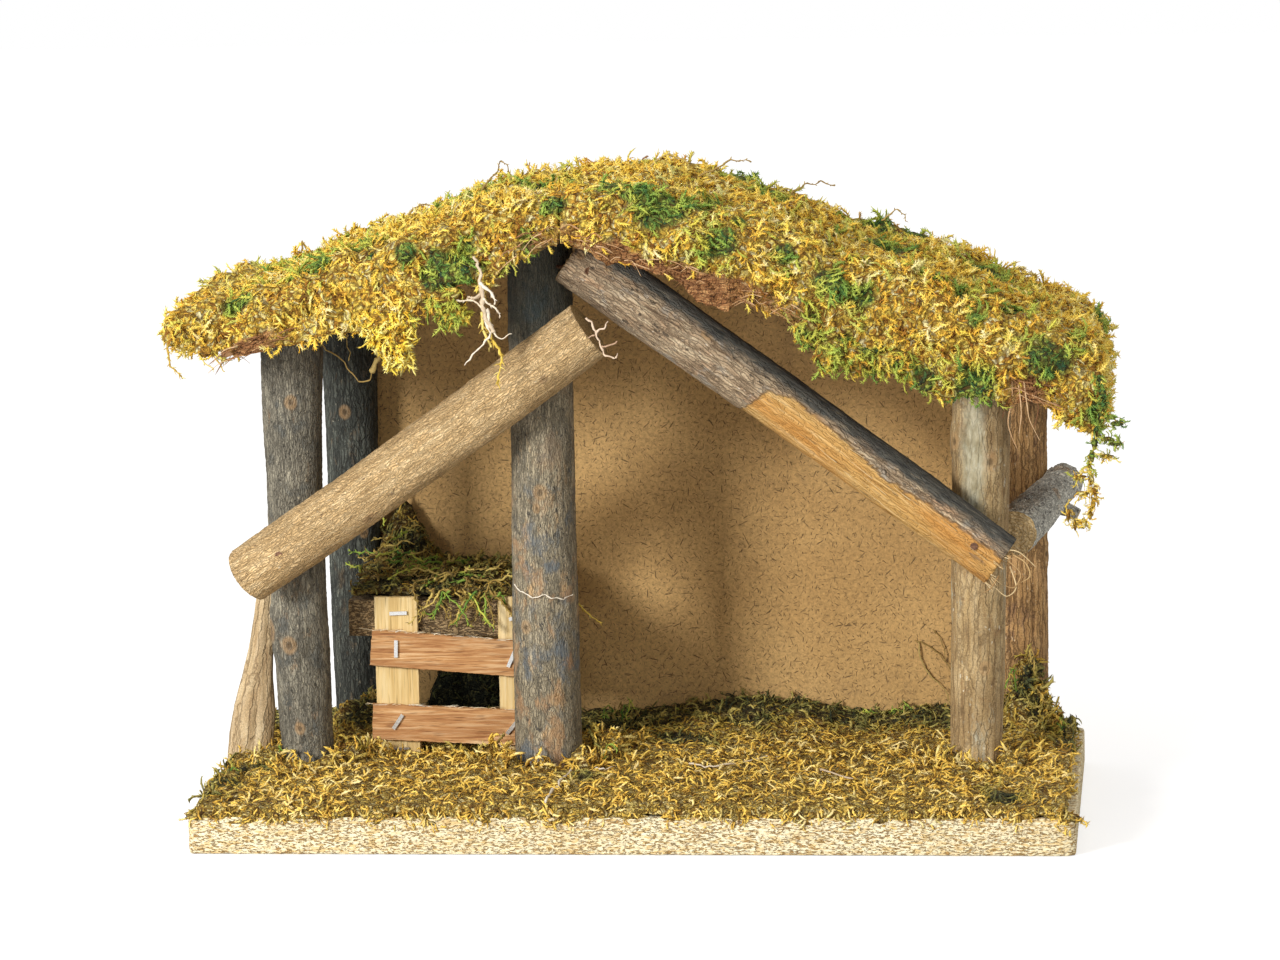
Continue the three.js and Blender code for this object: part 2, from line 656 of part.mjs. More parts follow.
for (const [name, post] of Object.entries(posts)) {
  const trimmed = logSolid(post).subtract(aboveRoof).subtract(belowFloor);
  const bark = { front_right: GREY_BARK, back_right: TAN_BARK }[name] ?? DARK_BARK;
  addPiece(`post_${name}`, cutAll(trimmed, holes[name]), bark);
}

const besideLeftBrace = [posts.front_left, posts.front_centre].map((log) => logSurface(log, FIT_GAP));
addPiece('brace_left', cutAll(logSolid(braceLeft), [...besideLeftBrace, ...leftBraceHoles]), TAN_BARK);

const besideRightBrace = [posts.front_centre, posts.front_right, braceLeft].map((log) => (
  logSurface(log, FIT_GAP)
));
addPiece(
  'brace_right',
  cutAll(logSolid(braceRight), [...besideRightBrace, aboveRoof, rightBraceNail, lapNail]),
  DARK_BARK,
);

const besideRail = [posts.front_right, posts.back_right].map((log) => logSurface(log, FIT_GAP));
addPiece('side_rail_right', cutAll(logSolid(rail), [...besideRail, railFrontNail, railBackNail]), DARK_BARK);

const besideProp = [posts.front_left, braceLeft].map((log) => logSurface(log, FIT_GAP));
addPiece('prop_left', cutAll(logSolid(prop), [...besideProp, belowFloor, propNail]), TAN_BARK);

// Base board

const halfLength = BASE_LENGTH / 2;
const halfDepth = BASE_DEPTH / 2;
const baseOutline = new THREE.Shape();
baseOutline.moveTo(BASE_CORNER_RADIUS - halfLength, -halfDepth);
for (const [cornerX, cornerY, start] of [[1, -1, -90], [1, 1, 0], [-1, 1, 90], [-1, -1, 180]]) {
  const centreX = cornerX * (halfLength - BASE_CORNER_RADIUS);
  const centreY = cornerY * (halfDepth - BASE_CORNER_RADIUS);
  baseOutline.absarc(centreX, centreY, BASE_CORNER_RADIUS, radians(start), radians(start + 90), false);
}
const baseGeometry = new THREE.ExtrudeGeometry(baseOutline, {
  depth: BASE_THICKNESS,
  bevelEnabled: false,
  curveSegments: BASE_CORNER_SEGMENTS,
});
addPiece('base_board', cutAll(solidOf(baseGeometry), baseHoles), CHIPBOARD);

// Back wall

const wallLeft = BACK_LEFT_POST.axisX[1] - WALL_SIDE_LAP;
const wallRight = BACK_RIGHT_POST.axisX[1] + WALL_SIDE_LAP;
const wall = plate([
  [wallLeft, floorLevel],
  [wallRight, floorLevel],
  [wallRight, roofUnderside(wallRight) - FIT_GAP],
  [RIDGE_X, RIDGE_HEIGHT - FIT_GAP],
  [wallLeft, roofUnderside(wallLeft) - FIT_GAP],
], wallFrontY, wallBackY);
addPiece('back_wall', cutAll(wall, wallHoles), HARDBOARD);

// Roof panels

function roofPanel(seamX, eaveX) {
  return plate([
    [seamX, roofUnderside(seamX)],
    [eaveX, roofUnderside(eaveX)],
    [eaveX, roofTop(eaveX)],
    [seamX, roofTop(seamX)],
  ], ROOF_FRONT_Y, ROOF_BACK_Y);
}

const leftSeam = RIDGE_X - FIT_GAP / 2;
const rightSeam = RIDGE_X + FIT_GAP / 2;
addPiece('roof_panel_left', cutAll(roofPanel(leftSeam, LEFT_EAVE_X), leftPanelHoles), HARDBOARD);
addPiece('roof_panel_right', cutAll(roofPanel(rightSeam, RIGHT_EAVE_X), rightPanelHoles), HARDBOARD);

// Manger rack

const rackFrontY = FRONT_ROW_Y + widest(CENTRE_POST.radii) + FIT_GAP;
const stripFrontY = rackFrontY + SLAT_THICKNESS + FIT_GAP;
const stripBackY = stripFrontY + STRIP_THICKNESS;
const stripX = { left: LEFT_STRIP_X, right: RIGHT_STRIP_X };
const rackLeft = LEFT_STRIP_X - STRIP_WIDTH / 2 - SLAT_OVERHANG;
const rackRight = RIGHT_STRIP_X + STRIP_WIDTH / 2 + SLAT_OVERHANG;
const rackMiddle = (rackLeft + rackRight) / 2;

function slatHeight({ height, tilt }, x) {
  return height + Math.tan(radians(tilt)) * (x - rackMiddle);
}

// A staple's U lies in its own x and y, and its wire's width runs along z
function stapleShape(margin) {
  const outer = STAPLE_CROWN / 2 + margin;
  const inner = STAPLE_CROWN / 2 - STAPLE_WIRE_THICKNESS - margin;
  const top = STAPLE_WIRE_THICKNESS + margin;
  const underside = -margin;
  const tip = -STAPLE_LEG - margin;
  const points = [
    [-outer, tip], [-inner, tip], [-inner, underside], [inner, underside],
    [inner, tip], [outer, tip], [outer, top], [-outer, top],
  ].map(([x, y]) => new THREE.Vector2(x, y));
  const width = STAPLE_WIRE_WIDTH + 2 * margin;
  const geometry = new THREE.ExtrudeGeometry(new THREE.Shape(points), { depth: width, bevelEnabled: false });
  geometry.translate(0, 0, -width / 2);
  return geometry;
}

function driveStaple(name, x, faceY, height, turn) {
  const place = (geometry) => {
    geometry.rotateX(Math.PI);
    geometry.rotateY(-radians(turn));
    geometry.translate(x, faceY - FIT_GAP, height);
    return solidOf(geometry);
  };
  addPiece(`staple_${name}`, place(stapleShape(0)), STEEL);
  return place(stapleShape(STAPLE_GAP));
}

const stapleHoles = [
  ...STRIP_STAPLES.map(({ name, strip, height, shift, turn }) => (
    driveStaple(name, stripX[strip] + shift, stripFrontY, height, turn)
  )),
  ...SLAT_STAPLES.map(({ name, strip, slat, rise, shift, turn }) => {
    const x = stripX[strip] + shift;
    return driveStaple(name, x, rackFrontY, slatHeight(slat, x) + rise, turn);
  }),
];

for (const side of ['left', 'right']) {
  const strip = block(
    stripX[side] - STRIP_WIDTH / 2,
    stripX[side] + STRIP_WIDTH / 2,
    stripFrontY,
    stripBackY,
    floorLevel,
    floorLevel + STRIP_HEIGHT,
  );
  addPiece(`rack_strip_${side}`, cutAll(strip, stapleHoles), PALE_WOOD);
}

for (const [name, slat] of [['upper', UPPER_SLAT], ['lower', LOWER_SLAT]]) {
  const rise = SLAT_WIDTH / 2 / Math.cos(radians(slat.tilt));
  const outline = plate([
    [rackLeft, slatHeight(slat, rackLeft) - rise],
    [rackRight, slatHeight(slat, rackRight) - rise],
    [rackRight, slatHeight(slat, rackRight) + rise],
    [rackLeft, slatHeight(slat, rackLeft) + rise],
  ], rackFrontY, rackFrontY + SLAT_THICKNESS);
  addPiece(`rack_slat_${name}`, cutAll(outline, stapleHoles), RED_WOOD);
}

// Loft board, notched round the back left post

const loftFrontY = stripBackY + FIT_GAP;
const loftBackY = wallFrontY - FIT_GAP;
const loft = block(LOFT_LEFT_X, LOFT_RIGHT_X, loftFrontY, loftBackY, LOFT_TOP - LOFT_THICKNESS, LOFT_TOP);
const besideLoft = logSurface(posts.back_left, FIT_GAP);
addPiece('loft_board', cutAll(loft, [besideLoft, ...loftNails, ...stapleHoles]), CHIPBOARD);

// Moss

function lumps(x, y) {
  const small = Math.sin((x + y) / MOSS_LUMP_PITCH) * Math.sin(y / MOSS_LUMP_PITCH + x / MOSS_SWELL_PITCH);
  const broad = Math.sin((x + y) / MOSS_SWELL_PITCH) * Math.cos(y / MOSS_SWELL_PITCH);
  return MOSS_LUMP * THREE.MathUtils.lerp(broad, small, MOSS_LUMP_SHARE);
}

function mounds(list, x, y) {
  return list.reduce((sum, { x: atX, y: atY, rise, width }) => (
    sum + rise * Math.exp(-((x - atX) ** 2 + (y - atY) ** 2) / width ** 2)
  ), 0);
}

// A mat between two surfaces, each given as a height over x and y
function mossMat([fromX, toX], [fromY, toY], cell, topAt, bottomAt) {
  const columns = Math.round((toX - fromX) / cell);
  const rows = Math.round((toY - fromY) / cell);
  const geometry = new THREE.BoxGeometry(1, 1, 1, columns, rows, 1);
  const position = geometry.attributes.position;
  for (let i = 0; i < position.count; i += 1) {
    const x = THREE.MathUtils.lerp(fromX, toX, position.getX(i) + 0.5);
    const y = THREE.MathUtils.lerp(fromY, toY, position.getY(i) + 0.5);
    const z = position.getZ(i) > 0 ? topAt(x, y) : bottomAt(x, y);
    position.setXYZ(i, x, y, z);
  }
  return solidOf(geometry);
}

// Roof moss covers a panel and hangs over its front edge and its eave

function roofMoss(seamX, eaveX, thickness, lip, tipRise) {
  const outward = Math.sign(eaveX - seamX);
  const outerX = eaveX + outward * lip;
  const frontY = ROOF_FRONT_Y - ROOF_MOSS_LIP;
  const backY = ROOF_BACK_Y + ROOF_MOSS_BACK_LIP;
  const riseAt = (x) => {
    const share = Math.max(1 - Math.abs(outerX - x) / ROOF_MOSS_TIP_RUN, 0);
    return tipRise * share ** 2;
  };
  const topAt = (x, y) => {
    const fromRidge = THREE.MathUtils.smoothstep(Math.abs(x - seamX), 0, ROOF_MOSS_RIDGE_RUN);
    const depth = THREE.MathUtils.lerp(ROOF_MOSS_RIDGE, thickness, fromRidge);
    const fromEdge = Math.min(Math.abs(outerX - x), y - frontY, backY - y) / ROOF_MOSS_CELL;
    const share = THREE.MathUtils.lerp(ROOF_MOSS_EDGE_SHARE, 1, Math.min(fromEdge, 1));
    return roofTop(x) + depth * share + ROOF_MOSS_TIP_TOP * riseAt(x) + lumps(x, y);
  };
  const bottomAt = (x, y) => {
    const tufts = ROOF_MOSS_TUFTS.map(({ x: atX, drop, width }) => (
      drop * Math.exp(-(((x - atX) / width) ** 2))
    ));
    const front = 1 - THREE.MathUtils.smoothstep(y, frontY, frontY + ROOF_MOSS_TUFT_REACH);
    return roofUnderside(x) - ROOF_MOSS_HANG - front * Math.max(...tufts) + riseAt(x);
  };
  const span = [Math.min(seamX, outerX), Math.max(seamX, outerX)];
  const mat = mossMat(span, [frontY, backY], ROOF_MOSS_CELL, topAt, bottomAt);
  const pitch = pitchAt(eaveX);
  const overPanel = (x) => (
    RIDGE_HEIGHT - Math.tan(pitch) * outward * (x - RIDGE_X) + PANEL_THICKNESS / Math.cos(pitch) + FIT_GAP
  );
  const pastSeam = seamX - outward * TRIM_ALLOWANCE;
  const pastEave = eaveX + outward * FIT_GAP;
  const panelRoom = plate([
    [pastSeam, overPanel(pastSeam)],
    [pastEave, overPanel(pastEave)],
    [pastEave, 0],
    [pastSeam, 0],
  ], ROOF_FRONT_Y - FIT_GAP, ROOF_BACK_Y + FIT_GAP);
  return mat.subtract(panelRoom);
}

const leftRoofMoss = roofMoss(leftSeam, LEFT_EAVE_X, ROOF_MOSS_LEFT, ROOF_MOSS_TIP, ROOF_MOSS_TIP_RISE);
const rightRoofMoss = roofMoss(rightSeam, RIGHT_EAVE_X, ROOF_MOSS_RIGHT, ROOF_MOSS_LIP, 0);
addPiece('moss_roof_left', leftRoofMoss, MOSS);
addPiece('moss_roof_right', rightRoofMoss, MOSS);

// Floor moss lies on the base, round the posts and the rack

const floorMossSide = halfLength - FLOOR_MOSS_EDGE_INSET;
const floorMossFront = FLOOR_MOSS_EDGE_INSET - halfDepth;
const floorMossBack = wallFrontY - FIT_GAP;
const floorMossTop = (x, y) => {
  const share = (y - floorMossFront) / (floorMossBack - floorMossFront);
  const depth = THREE.MathUtils.lerp(FLOOR_MOSS_FRONT, FLOOR_MOSS_BACK, Math.sqrt(share));
  return floorLevel + depth + lumps(x, y) + mounds(FLOOR_MOSS_MOUNDS, x, y);
};
const floorMat = mossMat(
  [-floorMossSide, floorMossSide],
  [floorMossFront, floorMossBack],
  FLOOR_MOSS_CELL,
  floorMossTop,
  () => 0,
);
const rackRoom = block(
  LEFT_STRIP_X - STRIP_WIDTH / 2 - FIT_GAP,
  RIGHT_STRIP_X + STRIP_WIDTH / 2 + FIT_GAP,
  rackFrontY - FIT_GAP,
  stripFrontY + STAPLE_LEG,
  0,
  LOFT_TOP,
);
const inFloorMoss = [...Object.values(posts), prop].map((log) => logSurface(log, FIT_GAP));
addPiece('moss_floor', cutAll(floorMat, [belowFloor, rackRoom, ...inFloorMoss]), MOSS);

// Loft moss lies on the loft board

const loftMossTop = (x, y) => LOFT_TOP + LOFT_MOSS + lumps(x, y) + mounds(LOFT_MOSS_MOUNDS, x, y);
const loftMossMat = mossMat(
  [LOFT_LEFT_X, LOFT_RIGHT_X],
  [loftFrontY, loftBackY],
  LOFT_MOSS_CELL,
  loftMossTop,
  () => 0,
);
const belowLoftTop = belowFloor.translate([0, 0, LOFT_TOP - BASE_THICKNESS]);
addPiece('moss_loft', cutAll(loftMossMat, [belowLoftTop, besideLoft]), MOSS);

export default stable;
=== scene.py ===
import math
import random

import bmesh
import bpy
import numpy as np
from mathutils import Matrix, Vector, noise


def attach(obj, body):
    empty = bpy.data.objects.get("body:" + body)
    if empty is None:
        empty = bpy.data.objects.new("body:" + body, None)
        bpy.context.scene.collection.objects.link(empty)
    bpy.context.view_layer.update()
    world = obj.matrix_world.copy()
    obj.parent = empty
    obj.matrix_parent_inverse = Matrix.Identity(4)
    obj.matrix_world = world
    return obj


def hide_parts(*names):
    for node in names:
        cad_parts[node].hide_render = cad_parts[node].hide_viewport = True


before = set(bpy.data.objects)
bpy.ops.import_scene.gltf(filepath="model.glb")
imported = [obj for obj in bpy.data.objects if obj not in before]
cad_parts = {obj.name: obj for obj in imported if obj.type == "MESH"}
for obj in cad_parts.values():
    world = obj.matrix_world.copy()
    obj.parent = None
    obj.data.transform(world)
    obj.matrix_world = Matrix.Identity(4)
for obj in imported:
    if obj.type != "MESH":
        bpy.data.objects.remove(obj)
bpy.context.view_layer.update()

# Camera
# The stable is seen from a little to the right of its open front and slightly from above, through a
# long lens, with the picture turned by about one degree.
VIEW_AZIMUTH = math.radians(6.043)
VIEW_ELEVATION = math.radians(8.415)
VIEW_ROLL = math.radians(-1.161)
VIEW_DISTANCE = 1.72386
VIEW_TARGET = Vector((-0.00166, 0, 0.10981))
LENS_LENGTH = 146.905
SENSOR_WIDTH = 36
FAR_LIMIT = 20


def way_to(azimuth, elevation):
    """The direction from the stable to something that stands at an azimuth and an elevation."""
    return Vector((
        math.sin(azimuth) * math.cos(elevation), -math.cos(azimuth) * math.cos(elevation),
        math.sin(elevation),
    ))


back = way_to(VIEW_AZIMUTH, VIEW_ELEVATION)
right = (-back).cross(Vector((0, 0, 1))).normalized()
upright = right.cross(-back)
turned_right = math.cos(VIEW_ROLL) * right + math.sin(VIEW_ROLL) * upright
turned_up = -math.sin(VIEW_ROLL) * right + math.cos(VIEW_ROLL) * upright
lens = bpy.data.cameras.new("Camera")
lens.lens = LENS_LENGTH
lens.sensor_width = SENSOR_WIDTH
lens.clip_end = FAR_LIMIT
camera = bpy.data.objects.new("Camera", lens)
camera.matrix_world = Matrix.Translation(VIEW_TARGET + back * VIEW_DISTANCE) @ Matrix((
    turned_right, turned_up, back,
)).transposed().to_4x4()
bpy.context.scene.collection.objects.link(camera)
bpy.context.scene.camera = camera
bpy.context.scene.view_settings.view_transform = "Standard"

# Floor and light
# A pale floor that runs to a white background. A soft lamp stands at the front left, a little above the
# stable, and the world fills in the rest.
KEY_AZIMUTH = math.radians(-33)
KEY_ELEVATION = math.radians(17)
KEY_DISTANCE = 1.6
KEY_SIZE = 0.34
KEY_POWER = 22.5
FILL_STRENGTH = 0.82
FLOOR_SIDE = 8
FLOOR_DROP = 0.0002
FLOOR_GREY = 0.62
FLOOR_LIFT = 0.56


def add(tree, kind, inputs=None, **settings):
    """A new node of a shader or geometry tree, with its settings and inputs."""
    node = tree.nodes.new(kind)
    for key, value in settings.items():
        setattr(node, key, value)
    for key, value in (inputs or {}).items():
        socket = node.inputs[key]
        if isinstance(value, bpy.types.NodeSocket):
            tree.links.new(value, socket)
        else:
            socket.default_value = value
    return node


def maths(tree, operation, *values):
    return add(tree, "ShaderNodeMath", dict(enumerate(values)), operation=operation).outputs[0]


def build_mesh(name, corners, faces, smooth=False):
    mesh = bpy.data.meshes.new(name)
    mesh.from_pydata(corners, [], faces)
    mesh.polygons.foreach_set("use_smooth", [smooth] * len(faces))
    return mesh


key = bpy.data.lights.new("Key", "AREA")
key.size = KEY_SIZE
key.energy = KEY_POWER
key_lamp = bpy.data.objects.new("Key", key)
key_way = way_to(KEY_AZIMUTH, KEY_ELEVATION)
key_lamp.location = VIEW_TARGET + key_way * KEY_DISTANCE
key_lamp.rotation_euler = (-key_way).to_track_quat("-Z", "Y").to_euler()
bpy.context.scene.collection.objects.link(key_lamp)

world = bpy.data.worlds.new("Studio")
world.use_nodes = True
bpy.context.scene.world = world
sky = world.node_tree
sky.nodes.clear()
rays = add(sky, "ShaderNodeLightPath")
seen = maths(sky, "MAXIMUM", rays.outputs["Is Camera Ray"], rays.outputs["Is Glossy Ray"])
seen = maths(sky, "MAXIMUM", seen, rays.outputs["Is Transmission Ray"])
fill = add(sky, "ShaderNodeBackground", {"Color": (1, 0.985, 0.96, 1), "Strength": FILL_STRENGTH})
white = add(sky, "ShaderNodeBackground", {"Color": (1, 1, 1, 1), "Strength": 1.0})
sky_mix = add(sky, "ShaderNodeMixShader", {0: seen, 1: fill.outputs[0], 2: white.outputs[0]})
add(sky, "ShaderNodeOutputWorld", {"Surface": sky_mix.outputs[0]})

half_floor = FLOOR_SIDE / 2
floor_corners = [
    (x * half_floor, y * half_floor, -FLOOR_DROP) for x, y in ((-1, -1), (1, -1), (1, 1), (-1, 1))
]
floor_mesh = build_mesh("Floor", floor_corners, [(0, 1, 2, 3)])
floor = bpy.data.objects.new("Floor", floor_mesh)
bpy.context.scene.collection.objects.link(floor)
paper = bpy.data.materials.new("Pale floor")
paper.use_nodes = True
paper.node_tree.nodes.clear()
rays = add(paper.node_tree, "ShaderNodeLightPath")
matt = add(paper.node_tree, "ShaderNodeBsdfDiffuse", {
    "Color": (FLOOR_GREY, FLOOR_GREY, FLOOR_GREY, 1),
})
glow = add(paper.node_tree, "ShaderNodeEmission", {"Color": (1, 1, 1, 1), "Strength": FLOOR_LIFT})
lit = add(paper.node_tree, "ShaderNodeAddShader", {0: matt.outputs[0], 1: glow.outputs[0]})
paper_mix = add(paper.node_tree, "ShaderNodeMixShader", {
    0: rays.outputs["Is Camera Ray"], 1: matt.outputs[0], 2: lit.outputs[0],
})
add(paper.node_tree, "ShaderNodeOutputMaterial", {"Surface": paper_mix.outputs[0]})
floor_mesh.materials.append(paper)

# Base board
# A length of 12 mm chipboard that everything stands on. Its sawn edges show the pale chips and the dark
# gaps among them, and the corners and arrises are worn round.
MM = 0.001
BASE_LENGTH = 285
BASE_DEPTH = 150
BASE_THICKNESS = 12
BASE_CORNER = 3
CORNER_STEPS = 5
BASE_PROFILE = (
    (0, 0.55), (0.25, 0.2), (0.8, 0.05), *((1.6 + step, 0) for step in range(9)),
    (10.4, 0), (11.2, 0.05), (11.75, 0.25), (BASE_THICKNESS, 0.6),
)
EDGE_PITCH = 0.9
EDGE_CRUMBLE = 0.32


def piece(name, mesh, *materials, slot=None, replaces=()):
    """A piece of the stable that rides with it and may stand for CAD nodes."""
    obj = bpy.data.objects.new(name, mesh)
    bpy.context.scene.collection.objects.link(obj)
    mesh.materials.clear()
    for material in materials:
        mesh.materials.append(material)
    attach(obj, "root")
    if replaces:
        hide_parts(*replaces)
    return obj


def finish_node(name, material):
    """Gives a CAD node that stays its own finish."""
    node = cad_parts[name]
    for slot in node.material_slots:
        slot.link = "OBJECT"
        slot.material = material


def paint(name, roughness, bump_depth):
    """A material, with its tree, its object coordinates, and a call that wires colour and height."""
    material = bpy.data.materials.new(name)
    material.use_nodes = True
    tree = material.node_tree
    shader = tree.nodes["Principled BSDF"]
    shader.inputs["Roughness"].default_value = roughness
    shader.inputs["Specular IOR Level"].default_value = 0.25

    def wire(colour, height=None):
        tree.links.new(colour, shader.inputs["Base Color"])
        if height is not None:
            bump = add(tree, "ShaderNodeBump", {
                "Strength": 1.0, "Distance": bump_depth * MM, "Height": height,
            })
            tree.links.new(bump.outputs[0], shader.inputs["Normal"])

    return material, tree, add(tree, "ShaderNodeTexCoord").outputs["Object"], wire


def vector_maths(tree, operation, *values):
    return add(tree, "ShaderNodeVectorMath", dict(enumerate(values)), operation=operation).outputs[0]


def stretch(tree, coords, x, y, z):
    return add(tree, "ShaderNodeMapping", {"Vector": coords, "Scale": (x, y, z)}).outputs[0]


def cloud(tree, coords, scale, detail=3.0, roughness=0.5, distortion=0.0):
    return add(tree, "ShaderNodeTexNoise", {
        "Vector": coords, "Scale": scale, "Detail": detail, "Roughness": roughness, "Distortion": distortion,
    }).outputs[0]


def ramp(tree, factor, *stops):
    """A colour ramp from (position, (r, g, b)) pairs, or a grey one from (position, value) pairs."""
    node = add(tree, "ShaderNodeValToRGB", {0: factor})
    while len(node.color_ramp.elements) < len(stops):
        node.color_ramp.elements.new(0.5)
    for element, (position, colour) in zip(node.color_ramp.elements, stops):
        element.position = position
        element.color = (*colour, 1) if isinstance(colour, tuple) else (colour, colour, colour, 1)
    return node.outputs[0]


def blend(tree, factor, low, high, mode="MIX"):
    node = add(tree, "ShaderNodeMix", {0: factor}, data_type="RGBA", blend_type=mode)
    for index, value in ((6, low), (7, high)):
        if isinstance(value, tuple):
            node.inputs[index].default_value = (*value, 1)
        else:
            tree.links.new(value, node.inputs[index])
    return node.outputs[2]


def stain(tree, colour, tone, mask, *stops):
    """A tone laid over a colour as strongly as the ramp of the mask says."""
    return blend(tree, ramp(tree, mask, *stops), colour, tone)


def shade(tone, share):
    return tuple(min(1, share * part) for part in tone)


def wandering(tree, coords, scale, reach):
    """Coordinates pushed about by soft noise, so that a pattern laid on them wanders."""
    wander = add(tree, "ShaderNodeTexNoise", {"Vector": coords, "Scale": scale, "Detail": 2.0})
    return vector_maths(tree, "ADD", coords, vector_maths(tree, "MULTIPLY", wander.outputs["Color"], reach))


def chipboard(name, pale, tan, dark, gap_share):
    """Pressed chips with dark gaps among them. gap_share grows with the part that is gaps."""
    material, tree, coords, wire = paint(name, 0.85, 0.5)
    moved = wandering(tree, coords, 260.0, (0.0022, 0.0022, 0.001))
    chips = add(tree, "ShaderNodeTexVoronoi", {
        "Vector": stretch(tree, moved, 0.4, 0.4, 1.5), "Scale": 1100.0, "Randomness": 1.0,
    })
    pick = add(tree, "ShaderNodeSeparateColor", {0: chips.outputs["Color"]}).outputs[0]
    colour = ramp(tree, pick, (0.0, tan), (0.3, pale), (0.75, shade(pale, 1.12)), (1.0, tan))
    fibre = cloud(tree, stretch(tree, moved, 0.5, 0.5, 2.0), 1500.0, 3.0, 0.6)
    colour = stain(tree, colour, tan, fibre, (0.35, 0.5), (0.6, 0.0))
    gaps = cloud(tree, stretch(tree, moved, 0.45, 0.45, 1.3), 1500.0, 4.0, 0.68, 0.5)
    holes = ramp(tree, gaps, (gap_share - 0.035, 1.0), (gap_share + 0.035, 0.0))
    colour = blend(tree, holes, colour, dark)
    broad = cloud(tree, coords, 30.0, 2.0)
    colour = stain(tree, colour, tan, broad, (0.35, 0.22), (0.65, 0.0))
    wire(colour, maths(tree, "MULTIPLY_ADD", holes, -0.8, maths(tree, "MULTIPLY", fibre, 0.4)))
    return material


def base_outline():
    """Points round the board, evenly spaced, with their outward direction, in millimetres."""
    points = []
    centre_x, centre_y = BASE_LENGTH / 2 - BASE_CORNER, BASE_DEPTH / 2 - BASE_CORNER
    for side_x, side_y, start in ((1, -1, -90), (1, 1, 0), (-1, 1, 90), (-1, -1, 180)):
        centre = Vector((side_x * centre_x, side_y * centre_y))
        for step in range(CORNER_STEPS + 1):
            turn = math.radians(start + 90 * step / CORNER_STEPS)
            way = Vector((math.cos(turn), math.sin(turn)))
            points.append((centre + BASE_CORNER * way, way))
    evened = []
    for (point, way), (following, next_way) in zip(points, points[1:] + points[:1]):
        count = max(1, round((following - point).length / EDGE_PITCH))
        evened += [(point.lerp(following, i / count), way.lerp(next_way, i / count)) for i in range(count)]
    return evened


def stacked_faces(rows, count):
    """The faces of a stack of closed outlines that have the same count of corners, with both ends closed."""
    faces = []
    for row in range(rows - 1):
        low, high = row * count, (row + 1) * count
        faces += [(low + i, low + (i + 1) % count, high + (i + 1) % count, high + i) for i in range(count)]
    faces.append(tuple(reversed(range(count))))
    faces.append(tuple(range((rows - 1) * count, rows * count)))
    return faces


rim = base_outline()
corners = []
for level, worn in BASE_PROFILE:
    for point, way in rim:
        place = Vector((point.x, point.y, level))
        flatter = Vector((point.x * 0.5, point.y * 0.5, level * 1.6))
        crumble = noise.noise(place * 0.9) + 0.7 * noise.noise(flatter)
        depth = worn * (1 + 0.8 * noise.noise(place * 0.35)) + EDGE_CRUMBLE * max(0.0, crumble)
        corners.append((*((point - way * depth) * MM), level * MM))
base_mesh = build_mesh("base_chipboard", corners, stacked_faces(len(BASE_PROFILE), len(rim)))
pale_chips = chipboard("Pale chipboard", (0.93, 0.85, 0.61), (0.72, 0.51, 0.22), (0.42, 0.23, 0.07), 0.44)
piece("base_chipboard", base_mesh, pale_chips, slot="chipboard", replaces=["base_board"])

# Posts
# Five lengths of branch wood with their bark on, sawn off at the base and at the slope of the roof. Each
# is nailed from below and through a roof panel. Knots show where twigs were cut off.
RIDGE_X = -21
RIDGE_HEIGHT = 196
LEFT_SLOPE = math.tan(math.radians(19.6))
RIGHT_SLOPE = math.tan(math.radians(19))
FLOOR_LEVEL = 12.3
LOG_SIDES = 72
LOG_STEP = 0.9
FIT_GAP = 0.3
POST_SLANT_RUN = 24


def roof_underside(x):
    return RIDGE_HEIGHT - np.where(x < RIDGE_X, (RIDGE_X - x) * LEFT_SLOPE, (x - RIDGE_X) * RIGHT_SLOPE)


def mark(mesh, name, kind, domain, values):
    """A named attribute on a mesh, from one number or vector for each element."""
    attribute = mesh.attributes.new(name, kind, domain)
    flat = np.asarray(values, dtype=np.float32).ravel()
    attribute.data.foreach_set("vector" if kind == "FLOAT_VECTOR" else "value", flat)


